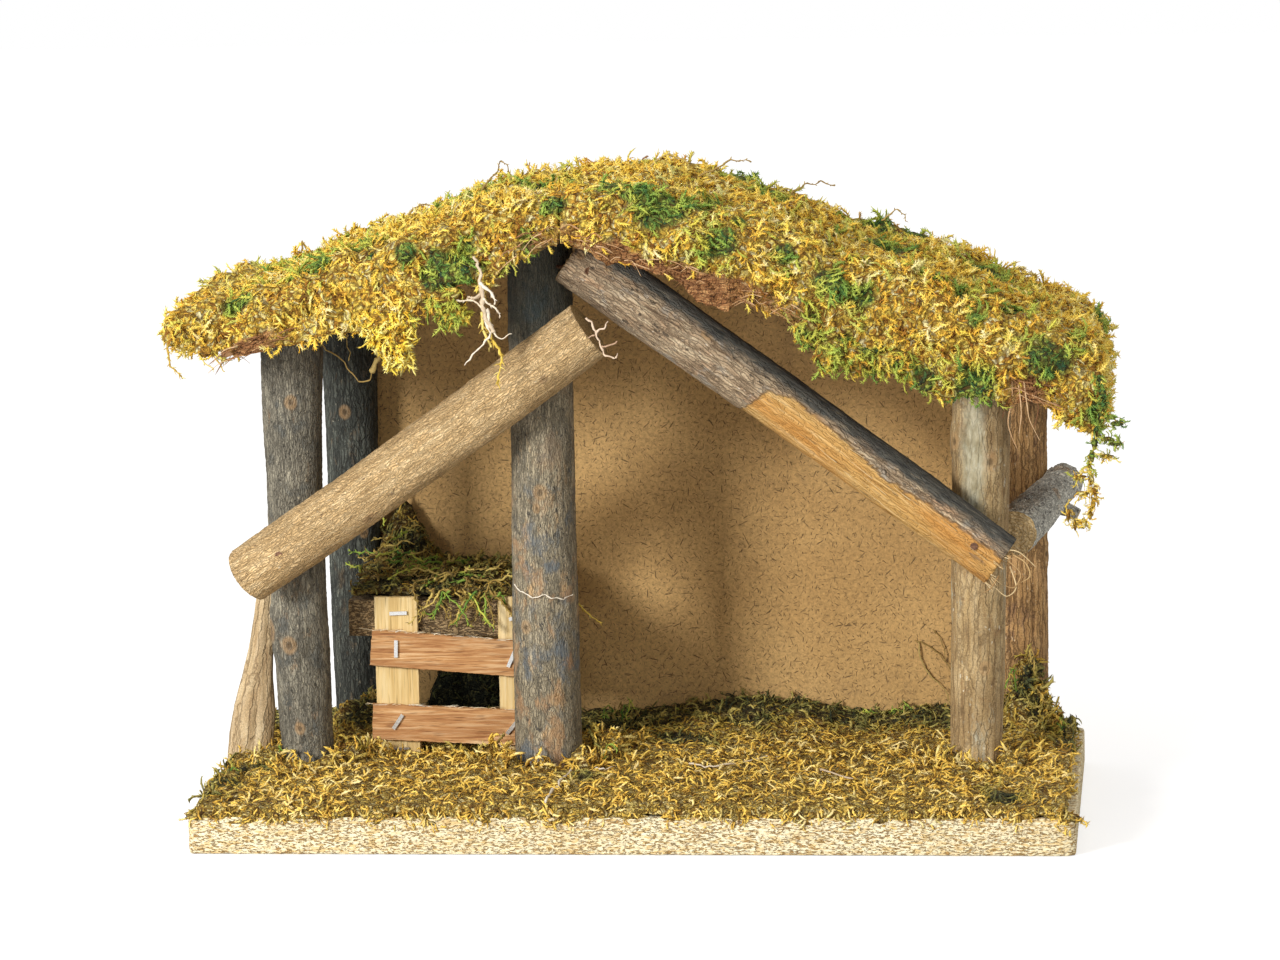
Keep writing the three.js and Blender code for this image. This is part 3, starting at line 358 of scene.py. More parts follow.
def grow_log(name, axis, radii, knots, seed, lump=0.35, furrow=0.22, furrow_width=1.6, furrow_run=9.0,
             flatness=1.0, end_relief=0.15, sides=LOG_SIDES, carve=None, reshape=None, extra=None):
    """A log along a curve through three points, in millimetres, with bark furrows, knots and sawn ends.

    A knot is its share of the length, its angle round the log, its radius and its height.
    """
    low, middle, high = (np.array(point, dtype=float) for point in axis)
    run = high - low
    length = float(np.linalg.norm(run))
    direction = run / length
    across = np.array((1.0, 0.0, 0.0)) - direction[0] * direction
    across /= np.linalg.norm(across)
    over = np.cross(across, direction)
    rings = int(length / LOG_STEP)
    shares = np.linspace(0, 1, rings + 1)
    angles = np.linspace(0, 2 * math.pi, sides, endpoint=False)
    s, a = np.meshgrid(shares, angles, indexing="ij")
    centre = (low * ((1 - s) * (1 - 2 * s))[..., None] + middle * (4 * s * (1 - s))[..., None]
              + high * (s * (2 * s - 1))[..., None])
    plain = np.interp(s, np.linspace(0, 1, len(radii)), radii)
    radius = plain * (1 + 0.02 * (0.67 * np.sin(2 * a + 9 * s) + 0.33 * np.sin(3 * a - 17 * s)))
    spin = plain.mean() / furrow_width
    shift = Vector((seed * 7.3, seed * 3.1, seed * 5.7))
    relief = np.empty(s.shape)
    for i in range(s.shape[0]):
        along = shares[i] * length
        for j in range(sides):
            x, y = math.cos(angles[j]), math.sin(angles[j])
            swell = noise.noise(Vector((x * 1.3, y * 1.3, along / 24)) + shift)
            wave = 0.6 * noise.noise(Vector((x * 2.5, y * 2.5, along / 14)) - shift)
            ridge = noise.noise(Vector(((x + wave) * spin, (y + wave) * spin, along / furrow_run)) + shift)
            grain = noise.noise(Vector((x * spin * 2.2, y * spin * 2.2, along / furrow_run * 3)) - shift)
            relief[i, j] = lump * swell + furrow * (1 - 2.4 * abs(ridge)) + furrow * 0.5 * grain
    knotted = np.zeros(s.shape)
    for at, turn, size, height in knots:
        sweep = (a - math.radians(turn) + math.pi) % (2 * math.pi) - math.pi
        gap = np.hypot((s - at) * length * 0.8, sweep * plain)
        knotted = np.maximum(knotted, np.exp(-(gap / size) ** 2))
        relief += height * np.exp(-(gap / size) ** 2) - 0.8 * height * np.exp(-(gap / size * 2.2) ** 2)
        relief += 0.35 * height * np.exp(-((gap / size - 1.5) * 2.5) ** 2)
    if carve:
        relief += carve(s, a)
    radius = radius + relief
    cosine, sine = np.cos(a)[..., None], np.sin(a)[..., None]
    side = centre + radius[..., None] * (across * cosine + over * flatness * sine)
    bark = np.stack([plain * np.cos(a), plain * np.sin(a), s * length], axis=-1)
    points = [side.reshape(-1, 3)]
    barks = [bark.reshape(-1, 3)]
    last = rings * sides
    faces = [
        (i * sides + j, (i + 1) * sides + j, (i + 1) * sides + (j + 1) % sides, i * sides + (j + 1) % sides)
        for i in range(rings) for j in range(sides)
    ]
    side_faces = len(faces)
    total = (rings + 1) * sides
    for end, first, sign in ((0, 0, -1), (-1, last, 1)):
        ring = list(range(first, first + sides))
        middle_point = side[end].mean(axis=0)
        for share in (0.93, 0.8, 0.6, 0.4, 0.2):
            rim_points = middle_point + (side[end] - middle_point) * share
            saw = np.array([noise.noise(Vector(point * 0.8)) for point in rim_points])
            points.append(rim_points + direction * (saw[:, None] * end_relief))
            flat = np.zeros((sides, 3))
            flat[:, :2] = bark[end][:, :2] * share
            flat[:, 2] = bark[end][:, 2]
            barks.append(flat)
            inner = list(range(total, total + sides))
            total += sides
            for j in range(sides):
                k = (j + 1) % sides
                quad = (ring[j], ring[k], inner[k], inner[j])
                faces.append(quad if sign < 0 else quad[::-1])
            ring = inner
        points.append(middle_point[None, :])
        barks.append(np.array([[0, 0, bark[end][0, 2]]]))
        for j in range(sides):
            k = (j + 1) % sides
            faces.append((ring[j], ring[k], total) if sign < 0 else (total, ring[k], ring[j]))
        total += 1
    points = np.concatenate(points)
    if reshape:
        points = reshape(points)
    mesh = bpy.data.meshes.new(name)
    mesh.from_pydata((points * MM).tolist(), [], faces)
    mark(mesh, "bark", "FLOAT_VECTOR", "POINT", np.concatenate(barks) * MM)
    knot = np.zeros(len(points))
    knot[:knotted.size] = knotted.ravel()
    mark(mesh, "knot", "FLOAT", "POINT", knot)
    cut = np.zeros(len(faces))
    cut[side_faces:] = 1
    mark(mesh, "cut", "FLOAT", "FACE", cut)
    if extra:
        extra(mesh, np.concatenate(barks), length)
    smooth = np.ones(len(faces), dtype=bool)
    smooth[side_faces:] = False
    mesh.polygons.foreach_set("use_smooth", smooth)
    return mesh


def furrows(tree, coords, scale, along, width):
    """The net of fine cracks in bark: 1 in a crack and 0 on the ridges between."""
    moved = wandering(tree, coords, 330.0, (0.0022, 0.0022, 0.004))
    ridges = add(tree, "ShaderNodeTexVoronoi", {
        "Vector": stretch(tree, moved, 1, 1, along), "Scale": scale, "Randomness": 1.0,
    }, feature="DISTANCE_TO_EDGE")
    return ramp(tree, ridges.outputs["Distance"], (width * 0.25, 1.0), (width, 0.0))


def attribute(tree, name, output="Fac"):
    return add(tree, "ShaderNodeAttribute", attribute_name=name).outputs[output]


def year_rings(tree, coords, wood, core):
    """The rings of a sawn end, which waver a little round the middle of the log."""
    axes = add(tree, "ShaderNodeSeparateXYZ", {0: coords}).outputs
    squares = [maths(tree, "POWER", axes[axis], 2.0) for axis in (0, 1)]
    spread = maths(tree, "SQRT", maths(tree, "ADD", *squares))
    wavering = maths(tree, "MULTIPLY_ADD", cloud(tree, coords, 200.0), 0.0012, spread)
    year = maths(tree, "SINE", maths(tree, "MULTIPLY", wavering, 5200.0))
    rings = blend(tree, maths(tree, "MULTIPLY_ADD", year, 0.3, 0.35), wood, core)
    return stain(tree, rings, core, cloud(tree, coords, 900.0, 4.0, 0.6), (0.4, 0.45), (0.65, 0.0))


def bark_paint(name, groove, body, crest, blotches, flecks, fineness=620.0, along=0.14, depth=0.5,
               lattice=(900.0, 0.17, 0.17, 0.6), wood=(0.62, 0.44, 0.2), core=(0.4, 0.25, 0.1),
               knot=(0.45, 0.27, 0.12), dress=None):
    """Bark whose grain follows the log. blotches and flecks are (colour, share, scale) triples.

    lattice is the scale, stretch, width and strength of its net of cracks. dress adds what one log has.
    """
    material, tree, _, wire = paint(name, 0.88, depth)
    coords = attribute(tree, "bark", "Vector")
    long_way = stretch(tree, coords, 1, 1, along)
    streak = cloud(tree, long_way, fineness, 5.0, 0.66, 0.5)
    colour = ramp(tree, streak, (0.32, groove), (0.48, body), (0.66, crest))
    broad = cloud(tree, stretch(tree, coords, 1, 1, 0.5), 110.0, 3.0, 0.55)
    colour = stain(tree, colour, groove, broad, (0.38, 0.45), (0.6, 0.0))
    for index, (tone, share, scale) in enumerate(blotches):
        patch = cloud(tree, stretch(tree, coords, 1, 1, 0.45 + 0.2 * index), scale, 6.0, 0.7, 0.3)
        edge = 1 - share
        colour = stain(tree, colour, tone, patch, (edge - 0.03, 0.0), (edge + 0.07, 0.85))
    for tone, share, scale in flecks:
        spots = cloud(tree, stretch(tree, coords, 1, 1, 0.6), scale, 2.0, 0.5)
        edge = 1 - share
        colour = stain(tree, colour, tone, spots, (edge - 0.01, 0.0), (edge + 0.03, 0.8))
    scale, run, width, strength = lattice
    cracks = furrows(tree, coords, scale, run, width)
    colour = blend(tree, maths(tree, "MULTIPLY", cracks, strength), colour, shade(groove, 0.55))
    grit = cloud(tree, coords, 2100.0, 2.0, 0.6)
    colour = blend(tree, 1.0, colour, ramp(tree, grit, (0.3, 0.72), (0.7, 1.3)), "MULTIPLY")
    spot = attribute(tree, "knot")
    colour = stain(tree, colour, knot, spot, (0.35, 0.0), (0.6, 0.5), (0.8, 0.5), (0.95, 0.0))
    colour = stain(tree, colour, shade(knot, 0.3), spot, (0.8, 0.0), (0.95, 0.8))
    if dress:
        colour = dress(tree, coords, colour)
    rough = maths(tree, "MULTIPLY_ADD", broad, 0.4, streak)
    wire(blend(tree, attribute(tree, "cut"), colour, year_rings(tree, coords, wood, core)),
         maths(tree, "MULTIPLY_ADD", cracks, -0.55, rough))
    return material


def stand_post(node, axis_x, y, radii, knots, seed, material, slot, **surface):
    """A post from the floor to the roof. axis_x holds its X at the foot, the middle and the head.

    A knot is its height, its angle round the post, its radius and its rise.
    """
    head = float(roof_underside(np.array(axis_x[2]))) - FIT_GAP
    span = head - FLOOR_LEVEL

    def slope(points):
        x, _, z = points.T
        tail = np.clip((z - head + POST_SLANT_RUN) / POST_SLANT_RUN, 0, None)
        points[:, 2] = z + tail * (roof_underside(x) - FIT_GAP - head)
        return points

    axis = [(axis_x[0], y, FLOOR_LEVEL), (axis_x[1], y, (FLOOR_LEVEL + head) / 2), (axis_x[2], y, head)]
    spots = [((height - FLOOR_LEVEL) / span, turn, size, rise) for height, turn, size, rise in knots]
    mesh = grow_log(f"{node}_bark", axis, radii, spots, seed, reshape=slope, **surface)
    piece(f"{node}_bark", mesh, material, slot=slot, replaces=[node])


slate_bark = bark_paint(
    "Slate bark", (0.1, 0.09, 0.068), (0.235, 0.21, 0.158), (0.36, 0.325, 0.24),
    [((0.34, 0.22, 0.12), 0.38, 170.0), ((0.12, 0.12, 0.105), 0.44, 120.0)],
    [((0.5, 0.43, 0.3), 0.3, 1100.0), ((0.05, 0.045, 0.035), 0.36, 800.0)],
    lattice=(1250.0, 0.16, 0.15, 0.5),
)
# The back left post has a darker copy of the slate bark: painted shade, for the shade it stands in.
shaded_bark = bark_paint(
    "Shaded bark", (0.029, 0.03, 0.026), (0.082, 0.087, 0.073), (0.156, 0.166, 0.136),
    [((0.14, 0.1, 0.06), 0.4, 200.0), ((0.06, 0.06, 0.05), 0.42, 150.0)],
    [((0.3, 0.27, 0.2), 0.3, 900.0), ((0.03, 0.028, 0.022), 0.33, 700.0)],
)


def blotches_and_shaded_head(tree, coords, colour):
    """Rust and slate blotches low on the centre post, and its head painted nearly black as the shade under
    the ridge.
    """
    axes = add(tree, "ShaderNodeSeparateXYZ", {0: coords})
    edge = cloud(tree, coords, 120.0, 4.0, 0.6)
    height = maths(tree, "MULTIPLY_ADD", axes.outputs[2], 5.0, maths(tree, "MULTIPLY", edge, 0.1))
    low = ramp(tree, height, (0.42, 1.0), (0.6, 0.25))
    for tone, scale, shift in (((0.13, 0.155, 0.175), 95.0, 3.0), ((0.44, 0.26, 0.13), 120.0, 8.0)):
        moved = vector_maths(tree, "ADD", coords, (shift, 0, 0))
        blotch = cloud(tree, stretch(tree, moved, 1, 1, 0.6), scale, 6.0, 0.65, 0.3)
        patch = ramp(tree, blotch, (0.54, 0.0), (0.63, 0.7))
        colour = blend(tree, maths(tree, "MULTIPLY", patch, low), colour, tone)
    # Painted shade: the head of the post goes nearly black where the roof shades it.
    return stain(tree, colour, (0.045, 0.062, 0.058), height, (0.72, 0.0), (0.82, 0.72))


def silver_patch(tree, coords, colour):
    """A broad smooth patch of silvery green bark high on the front of the right post."""
    offset = vector_maths(tree, "SUBTRACT", coords, (-0.002, 0.0085, 0.108))
    reach = add(tree, "ShaderNodeVectorMath", {0: stretch(tree, offset, 1.5, 1, 0.22)}, operation="LENGTH")
    fray = cloud(tree, coords, 230.0, 5.0, 0.65)
    frayed = maths(tree, "MULTIPLY_ADD", fray, 0.006, reach.outputs["Value"])
    mask = ramp(tree, maths(tree, "MULTIPLY", frayed, 50.0), (0.32, 0.7), (0.55, 0.0))
    silver = ramp(tree, cloud(tree, stretch(tree, coords, 1, 1, 0.4), 500.0, 4.0, 0.6),
                  (0.35, (0.26, 0.24, 0.15)), (0.65, (0.58, 0.55, 0.4)))
    return blend(tree, mask, colour, silver)


centre_bark = bark_paint(
    "Centre post bark", (0.13, 0.115, 0.085), (0.33, 0.275, 0.18), (0.5, 0.42, 0.285),
    [((0.5, 0.32, 0.155), 0.4, 110.0), ((0.15, 0.165, 0.17), 0.42, 90.0)],
    [((0.6, 0.51, 0.37), 0.3, 1000.0), ((0.06, 0.055, 0.05), 0.35, 700.0)],
    lattice=(1300.0, 0.13, 0.15, 0.5), dress=blotches_and_shaded_head,
)
grey_bark = bark_paint(
    "Grey and tan bark", (0.22, 0.14, 0.065), (0.42, 0.29, 0.135), (0.56, 0.42, 0.23),
    [((0.42, 0.42, 0.33), 0.42, 80.0), ((0.3, 0.18, 0.08), 0.4, 220.0)],
    [((0.62, 0.55, 0.4), 0.31, 700.0), ((0.12, 0.08, 0.05), 0.3, 800.0)],
    fineness=500.0, depth=0.3, lattice=(420.0, 0.12, 0.08, 0.45), dress=silver_patch,
)
red_bark = bark_paint(
    "Reddish bark", (0.16, 0.083, 0.032), (0.44, 0.25, 0.095), (0.63, 0.4, 0.18),
    [((0.48, 0.28, 0.12), 0.45, 120.0), ((0.18, 0.1, 0.055), 0.42, 180.0)],
    [((0.6, 0.45, 0.28), 0.3, 700.0)],
    along=0.08, lattice=(620.0, 0.07, 0.1, 0.6),
)
stand_post(
    "post_front_left", (-113, -115.2, -114.8), -10, (8.4, 9.1, 9.2, 10.2),
    [(58, 105, 2.8, 1.3), (62, 160, 3.8, 1.5), (139, 84, 2.3, 1.1), (96, 60, 1.8, 0.7), (30, 95, 2.0, 0.8)],
    1, slate_bark, "dark_bark", furrow_width=1.1, furrow_run=5.0, furrow=0.2,
)
stand_post(
    "post_back_left", (-106.7, -107.4, -107), 61.51, (8.3, 8.6, 8.9, 9.3),
    [(126, 95, 2.3, 1.1), (84, 60, 1.8, 0.8)], 2, shaded_bark, "dark_bark", furrow_width=1.2, furrow_run=6.0,
)
stand_post(
    "post_front_centre", (-32.7, -32.7, -31.9), -10, (10.9, 10.7, 10.4, 10.4),
    [(109, 88, 2.5, 1.4), (103.5, 96, 1.6, -1.6), (160, 200, 2.0, 0.9), (64, 120, 2.2, 0.5),
     (40, 70, 2.0, 0.6)],
    3, centre_bark, "dark_bark", furrow_width=1.0, furrow_run=8.0, furrow=0.2,
)
stand_post(
    "post_front_right", (108.4, 110.2, 112), -10, (8.1, 8.8, 9.3, 9.3),
    [(50, 72, 2.3, 1.0), (124, 150, 2.8, 1.3), (118, 70, 3.0, 0.6)], 4, grey_bark, "grey_bark",
    furrow=0.1, furrow_width=1.8, furrow_run=12.0,
)
stand_post(
    "post_back_right", (121.6, 121.9, 122.3), 62.23, (8.5, 8.5, 8.6, 8.6), [(75, 20, 2.3, 1.1)], 5,
    red_bark, "tan_bark", furrow=0.2, furrow_width=1.1, furrow_run=22.0,
)

# Nails
# Round wire nails, driven from below into the posts, through the panels and the wall, and through each
# brace. They have gone dull and dark, and most are hidden in the wood or under the moss.
def finish_metal(prefix, name, roughness, bump_depth, metallic, scale, detail, dark, bright):
    """One spotted metal for all the CAD nodes whose names start alike."""
    material, tree, coords, wire = paint(name, roughness, bump_depth)
    spots = cloud(tree, coords, scale, detail)
    wire(ramp(tree, spots, dark, bright), spots)
    tree.nodes["Principled BSDF"].inputs["Metallic"].default_value = metallic
    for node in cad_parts:
        if node.startswith(prefix):
            finish_node(node, material)


finish_metal("nail_", "Dull nail", 0.5, 0.05, 0.25, 900.0, 3.0, (0.4, (0.1, 0.05, 0.03)),
             (0.65, (0.26, 0.13, 0.07)))

# Back wall
# A sheet of brown hardboard behind the back posts, cut to the pitch of the roof. Its face is even and
# golden, with short dark fibres pressed into it.
FIBRE_SIZES = ((170.0, 2.8, 0.34, 0.4), (330.0, 1.7, 0.26, 0.6), (640.0, 0.9, 0.24, 0.6))


def dashes(tree, place, scale, length, width, keep):
    """Short straight strokes, at most one to a cell and each turned its own way: 1 in a stroke."""
    cells = add(tree, "ShaderNodeTexVoronoi", {"Vector": place, "Scale": scale}, voronoi_dimensions="2D")
    random_parts = add(tree, "ShaderNodeSeparateColor", {0: cells.outputs["Color"]}).outputs
    offset = vector_maths(tree, "SUBTRACT", place, cells.outputs["Position"])
    turned = add(tree, "ShaderNodeVectorRotate", {
        "Vector": offset, "Angle": maths(tree, "MULTIPLY", random_parts[0], 2 * math.pi),
    }, rotation_type="Z_AXIS")
    axes = add(tree, "ShaderNodeSeparateXYZ", {0: turned.outputs[0]}).outputs
    masks = []
    for axis, half in ((0, length / 2), (1, width / 2)):
        masks.append(add(tree, "ShaderNodeMapRange", {
            "Value": maths(tree, "ABSOLUTE", axes[axis]), "From Min": half * 0.6 * MM,
            "From Max": half * 1.3 * MM, "To Min": 1.0, "To Max": 0.0,
        }).outputs[0])
    kept = maths(tree, "LESS_THAN", random_parts[1], keep)
    strength = maths(tree, "MULTIPLY_ADD", random_parts[2], 0.6, 0.4)
    return maths(tree, "MULTIPLY", maths(tree, "MULTIPLY", *masks), maths(tree, "MULTIPLY", kept, strength))


def hardboard(name, light, deep, fibre_tone, turn):
    """Pressed fibre board. turn brings its face to the XY plane of the pattern, in radians about X."""
    material, tree, coords, wire = paint(name, 0.62, 0.12)
    tone = cloud(tree, coords, 24.0, 4.0, 0.55)
    colour = ramp(tree, tone, (0.35, deep), (0.65, light))
    smudge = cloud(tree, coords, 55.0, 4.0, 0.6)
    smudged = tuple(0.62 * part + 0.03 for part in deep)
    colour = stain(tree, colour, smudged, smudge, (0.6, 0.0), (0.75, 0.4))
    mottle = cloud(tree, coords, 900.0, 4.0, 0.7, 0.8)
    colour = blend(tree, 1.0, colour, ramp(tree, mottle, (0.3, 0.62), (0.5, 1.0), (0.7, 1.26)), "MULTIPLY")
    place = add(tree, "ShaderNodeMapping", {"Vector": coords, "Rotation": (turn, 0.0, 0.0)}).outputs[0]
    height = mottle
    for fibres in FIBRE_SIZES:
        strokes = dashes(tree, place, *fibres)
        colour = blend(tree, strokes, colour, fibre_tone)
        height = maths(tree, "MULTIPLY_ADD", strokes, -0.6, height)
    wire(colour, height)
    return material


wall_board = hardboard("Hardboard", (0.6, 0.375, 0.145), (0.47, 0.28, 0.1), (0.1, 0.06, 0.026), -math.pi / 2)
finish_node("back_wall", wall_board)

# Roof panels
# Two sheets of the same hardboard, nailed to the heads of the posts and meeting at an off-centre ridge.
# The moss hides all but their undersides, which are painted darker than the wall as shade.
# Painted shade: the wall's hardboard in darker tones, for the shaded undersides of the panels.
shaded_panel_board = hardboard("Roof hardboard", (0.36, 0.2, 0.085), (0.25, 0.12, 0.05), (0.07, 0.035, 0.018), 0.0)
for side in ("left", "right"):
    finish_node(f"roof_panel_{side}", shaded_panel_board)

# Left brace
# A straight branch with tan, finely ridged bark, nailed across the front of two posts. Its outer end is
# sawn and worn, and its upper end is sawn square and leans under the right brace.
tan_bark = bark_paint(
    "Tan bark", (0.42, 0.27, 0.12), (0.7, 0.475, 0.23), (0.88, 0.66, 0.37),
    [((0.6, 0.39, 0.18), 0.4, 120.0)],
    [((0.74, 0.6, 0.4), 0.28, 620.0), ((0.2, 0.13, 0.07), 0.28, 520.0)],
    fineness=900.0, along=0.14, depth=0.7, lattice=(1500.0, 0.2, 0.17, 0.42), knot=(0.3, 0.17, 0.08),
)
SLANT = 2.4
SLANT_RUN = 15
LEFT_BRACE_AXIS = [(-128.2, -28.0, 83.4), (-71.15, -28.93, 122.2), (-14.1, -29.86, 163.4)]
LEFT_BRACE_RADII = (9.3, 9.5, 9.8, 9.7)
BRACE_FOOT = np.array(LEFT_BRACE_AXIS[0])
BRACE_DIRECTION = np.array((0.8186, -0.0133, 0.574))


def slant_foot(points):
    """The outer end of the brace is sawn at a slant, so that its front stands out past its back."""
    along = (points - BRACE_FOOT) @ BRACE_DIRECTION
    front = (BRACE_FOOT[1] - points[:, 1]) / LEFT_BRACE_RADII[1]
    return points - BRACE_DIRECTION * (SLANT * front * np.clip(1 - along / SLANT_RUN, 0, 1))[:, None]


left_brace = grow_log(
    "brace_left_bark", LEFT_BRACE_AXIS, LEFT_BRACE_RADII, [(0.33, 45, 2.2, 0.7), (0.86, 70, 1.6, 0.8)], 6,
    furrow=0.26, furrow_width=0.8, furrow_run=9.0, end_relief=0.35, reshape=slant_foot,
)
piece("brace_left_bark", left_brace, tan_bark, slot="tan_bark", replaces=["brace_left"])

# Right brace
# A dark branch wedged under the roof at the ridge and nailed to the right post; its top is painted darker
# still as shade from the roof. Its bark has come off along the lower side, down to tan wood, and its outer
# end is torn rather than sawn.
BARE_EDGE = ((0, 73), (0.17, 75), (0.27, 84), (0.37, 69), (0.5, 61), (0.545, 78), (0.565, 150), (0.6, 240))
BARE_BACK = 236
BARE_END = 0.575
BARE_DEPTH = 0.55


def bare_share(share, angle):
    """How far the bark is gone, from 0 to 1, at a share of the length and an angle in degrees."""
    edge = np.interp(share, *zip(*BARE_EDGE))
    fray = np.array([[
        5 * noise.noise(Vector((s * 60, a * 0.09, 1))) + 3 * noise.noise(Vector((s * 190, a * 0.2, 4)))
        for s, a in zip(*row)
    ] for row in zip(share, angle)])
    start = np.clip((angle - edge - fray) / 3, 0, 1)
    stop = np.clip((BARE_BACK - angle + fray) / 3, 0, 1)
    reach = np.clip((BARE_END - share + fray * 0.002) / 0.008, 0, 1)
    return start * stop * reach


def mark_bare(mesh, bark, length):
    angle = np.degrees(np.arctan2(bark[:, 1], bark[:, 0])) % 360
    share = bark[:, 2] / length
    mark(mesh, "bare", "FLOAT", "POINT", bare_share(share[None, :], angle[None, :])[0])


def under_roof(points):
    """Wood that would stick through the roof panels is cut away level with their undersides."""
    x, _, z = points.T
    points[:, 2] = np.minimum(z, roof_underside(x) - FIT_GAP)
    return points


def strip_bark(tree, coords, colour):
    """Slate bark along the top, made near black by painted shade from the roof, and torn tan wood with a dark
    rim where the bark is gone.
    """
    axes = add(tree, "ShaderNodeSeparateXYZ", {0: coords})
    edge = cloud(tree, stretch(tree, coords, 1, 1, 0.3), 400.0, 4.0)
    height = maths(tree, "ADD", axes.outputs[0], maths(tree, "MULTIPLY_ADD", edge, 0.006, -0.003))
    flaked = cloud(tree, stretch(tree, coords, 1, 1, 0.25), 700.0, 5.0, 0.7)
    # Real slate bark, but its near-black tones along the top are painted shade from the roof above.
    slate = ramp(tree, flaked, (0.36, (0.03, 0.036, 0.038)), (0.6, (0.115, 0.115, 0.1)),
                 (0.76, (0.42, 0.33, 0.19)))
    colour = stain(tree, colour, slate, maths(tree, "MULTIPLY", height, 100.0), (0.4, 0.0), (0.64, 0.92))
    grain = cloud(tree, stretch(tree, coords, 1, 1, 0.06), 560.0, 6.0, 0.78, 0.8)
    wood = ramp(tree, grain, (0.3, (0.16, 0.07, 0.02)), (0.42, (0.5, 0.27, 0.075)),
                (0.54, (0.68, 0.41, 0.14)), (0.68, (0.88, 0.68, 0.36)))
    warm = cloud(tree, stretch(tree, coords, 1, 1, 0.3), 90.0, 3.0)
    wood = stain(tree, wood, (0.56, 0.25, 0.055), warm, (0.42, 0.0), (0.6, 0.7))
    torn = cloud(tree, stretch(tree, coords, 1, 1, 0.2), 330.0, 5.0, 0.7)
    wood = stain(tree, wood, (0.24, 0.15, 0.08), torn, (0.62, 0.0), (0.68, 0.8))
    bare = attribute(tree, "bare")
    rim = ramp(tree, bare, (0.05, 0.0), (0.3, 0.55), (0.6, 0.55), (0.95, 0.0))
    return blend(tree, rim, blend(tree, bare, colour, wood), (0.13, 0.075, 0.035))


slate_brace_bark = bark_paint(
    "Right brace bark", (0.16, 0.105, 0.062), (0.43, 0.31, 0.19), (0.66, 0.53, 0.35),
    [((0.52, 0.33, 0.19), 0.42, 130.0), ((0.36, 0.32, 0.26), 0.42, 160.0)],
    [((0.62, 0.53, 0.41), 0.31, 620.0), ((0.07, 0.055, 0.04), 0.34, 500.0)],
    fineness=700.0, along=0.12, depth=0.6, lattice=(1000.0, 0.12, 0.13, 0.5), dress=strip_bark,
)
right_brace = grow_log(
    "brace_right_bark", [(117.7, -28.13, 86.7), (49.05, -25.39, 137.45), (-19.6, -22.65, 186.6)],
    (8.9, 9.3, 9.6, 9.6), [(0.93, 62, 1.7, 0.8), (0.7, 60, 2.0, 0.7), (0.985, 75, 1.4, 0.6)], 7,
    furrow=0.2, furrow_width=1.5, furrow_run=16.0, end_relief=1.1, reshape=under_roof,
    carve=lambda share, angle: -BARE_DEPTH * bare_share(share, np.degrees(angle) % 360), extra=mark_bare,
)
piece("brace_right_bark", right_brace, slate_brace_bark, slot="dark_bark", replaces=["brace_right"])


def smooth_path(points, count):
    """Points along a curve that passes through the given ones."""
    padded = [points[0], *points, points[-1]]
    path = []
    for before, start, end, after in zip(padded, padded[1:], padded[2:], padded[3:]):
        for step in range(count):
            t = step / count
            bend = 2 * before - 5 * start + 4 * end - after
            twist = 3 * start - before - 3 * end + after
            path.append(0.5 * (2 * start + (end - before) * t + bend * t ** 2 + twist * t ** 3))
    return [*path, points[-1]]


def tube(path, thick, thin, sides, flat, swell, rng):
    """Corners and faces of a closed tube along a path, in millimetres, that tapers to its tip."""
    corners = []
    lean = Vector((0.3, 0.5, 0.81))
    for i, point in enumerate(path):
        forward = (path[min(i + 1, len(path) - 1)] - path[max(i - 1, 0)]).normalized()
        side = forward.cross(lean).normalized()
        top = side.cross(forward)
        width = thick + (thin - thick) * i / (len(path) - 1) + swell * rng.uniform(-1, 1) * thick
        for k in range(sides):
            turn = 2 * math.pi * k / sides
            corners.append(point + side * (width * math.cos(turn)) + top * (width * flat * math.sin(turn)))
    return corners, stacked_faces(len(path), sides)


def bundle(name, tubes):
    """One mesh from many tubes, with each tube's own tint and its share along as attributes."""
    corners, faces, tints = [], [], []
    rng = random.Random(name)
    for tube_corners, tube_faces in tubes:
        first = len(corners)
        corners += [corner * MM for corner in tube_corners]
        faces += [tuple(first + index for index in face) for face in tube_faces]
        tints += [rng.random()] * len(tube_corners)
    mesh = build_mesh(name, corners, faces, smooth=True)
    mark(mesh, "tint", "FLOAT", "POINT", tints)
    return mesh


def strand_paint(name, *tones, roughness=0.75):
    """A matt finish whose tone is picked by each strand's own tint."""
    material, tree, coords, wire = paint(name, roughness, 0.1)
    spots = cloud(tree, coords, 1400.0, 2.0)
    pick = maths(tree, "ADD", attribute(tree, "tint"), maths(tree, "MULTIPLY_ADD", spots, 0.5, -0.25))
    wire(ramp(tree, pick, *[(i / (len(tones) - 1), tone) for i, tone in enumerate(tones)]), spots)
    return material


def vectors(*points):
    return [Vector(point) for point in points]


END_SPLINTERS = 44
SIDE_SPLINTERS = 9
BRACE_RUN = 170
splinter_wood = strand_paint("Torn wood", (0.38, 0.22, 0.09), (0.62, 0.42, 0.19), (0.82, 0.66, 0.4))
rng = random.Random(11)
splinters = []
torn_end = Vector((117.7, -28.1, 86.7))
brace_way = Vector((0.808, -0.03, -0.588)).normalized()
brace_up = Vector((0.589, 0.044, 0.807))
for _ in range(END_SPLINTERS):
    turn = rng.uniform(0, 2 * math.pi)
    rim_way = brace_up * math.cos(turn) + Vector((0, -1, 0.05)) * math.sin(turn)
    root = torn_end + rim_way * rng.uniform(6.2, 8.9) - brace_way * rng.uniform(0, 2.5)
    reach = rng.uniform(1.5, 5.5)
    bend = rim_way * rng.uniform(-1, 1.6)
    bend += Vector((rng.uniform(-1, 1), rng.uniform(-1, 1), rng.uniform(-1, 1)))
    tip = root + brace_way * reach
    path = smooth_path([root, root + brace_way * reach * 0.5 + bend * 0.3, tip + bend], 3)
    splinters.append(tube(path, rng.uniform(0.22, 0.55), 0.08, 4, 0.5, 0.15, rng))
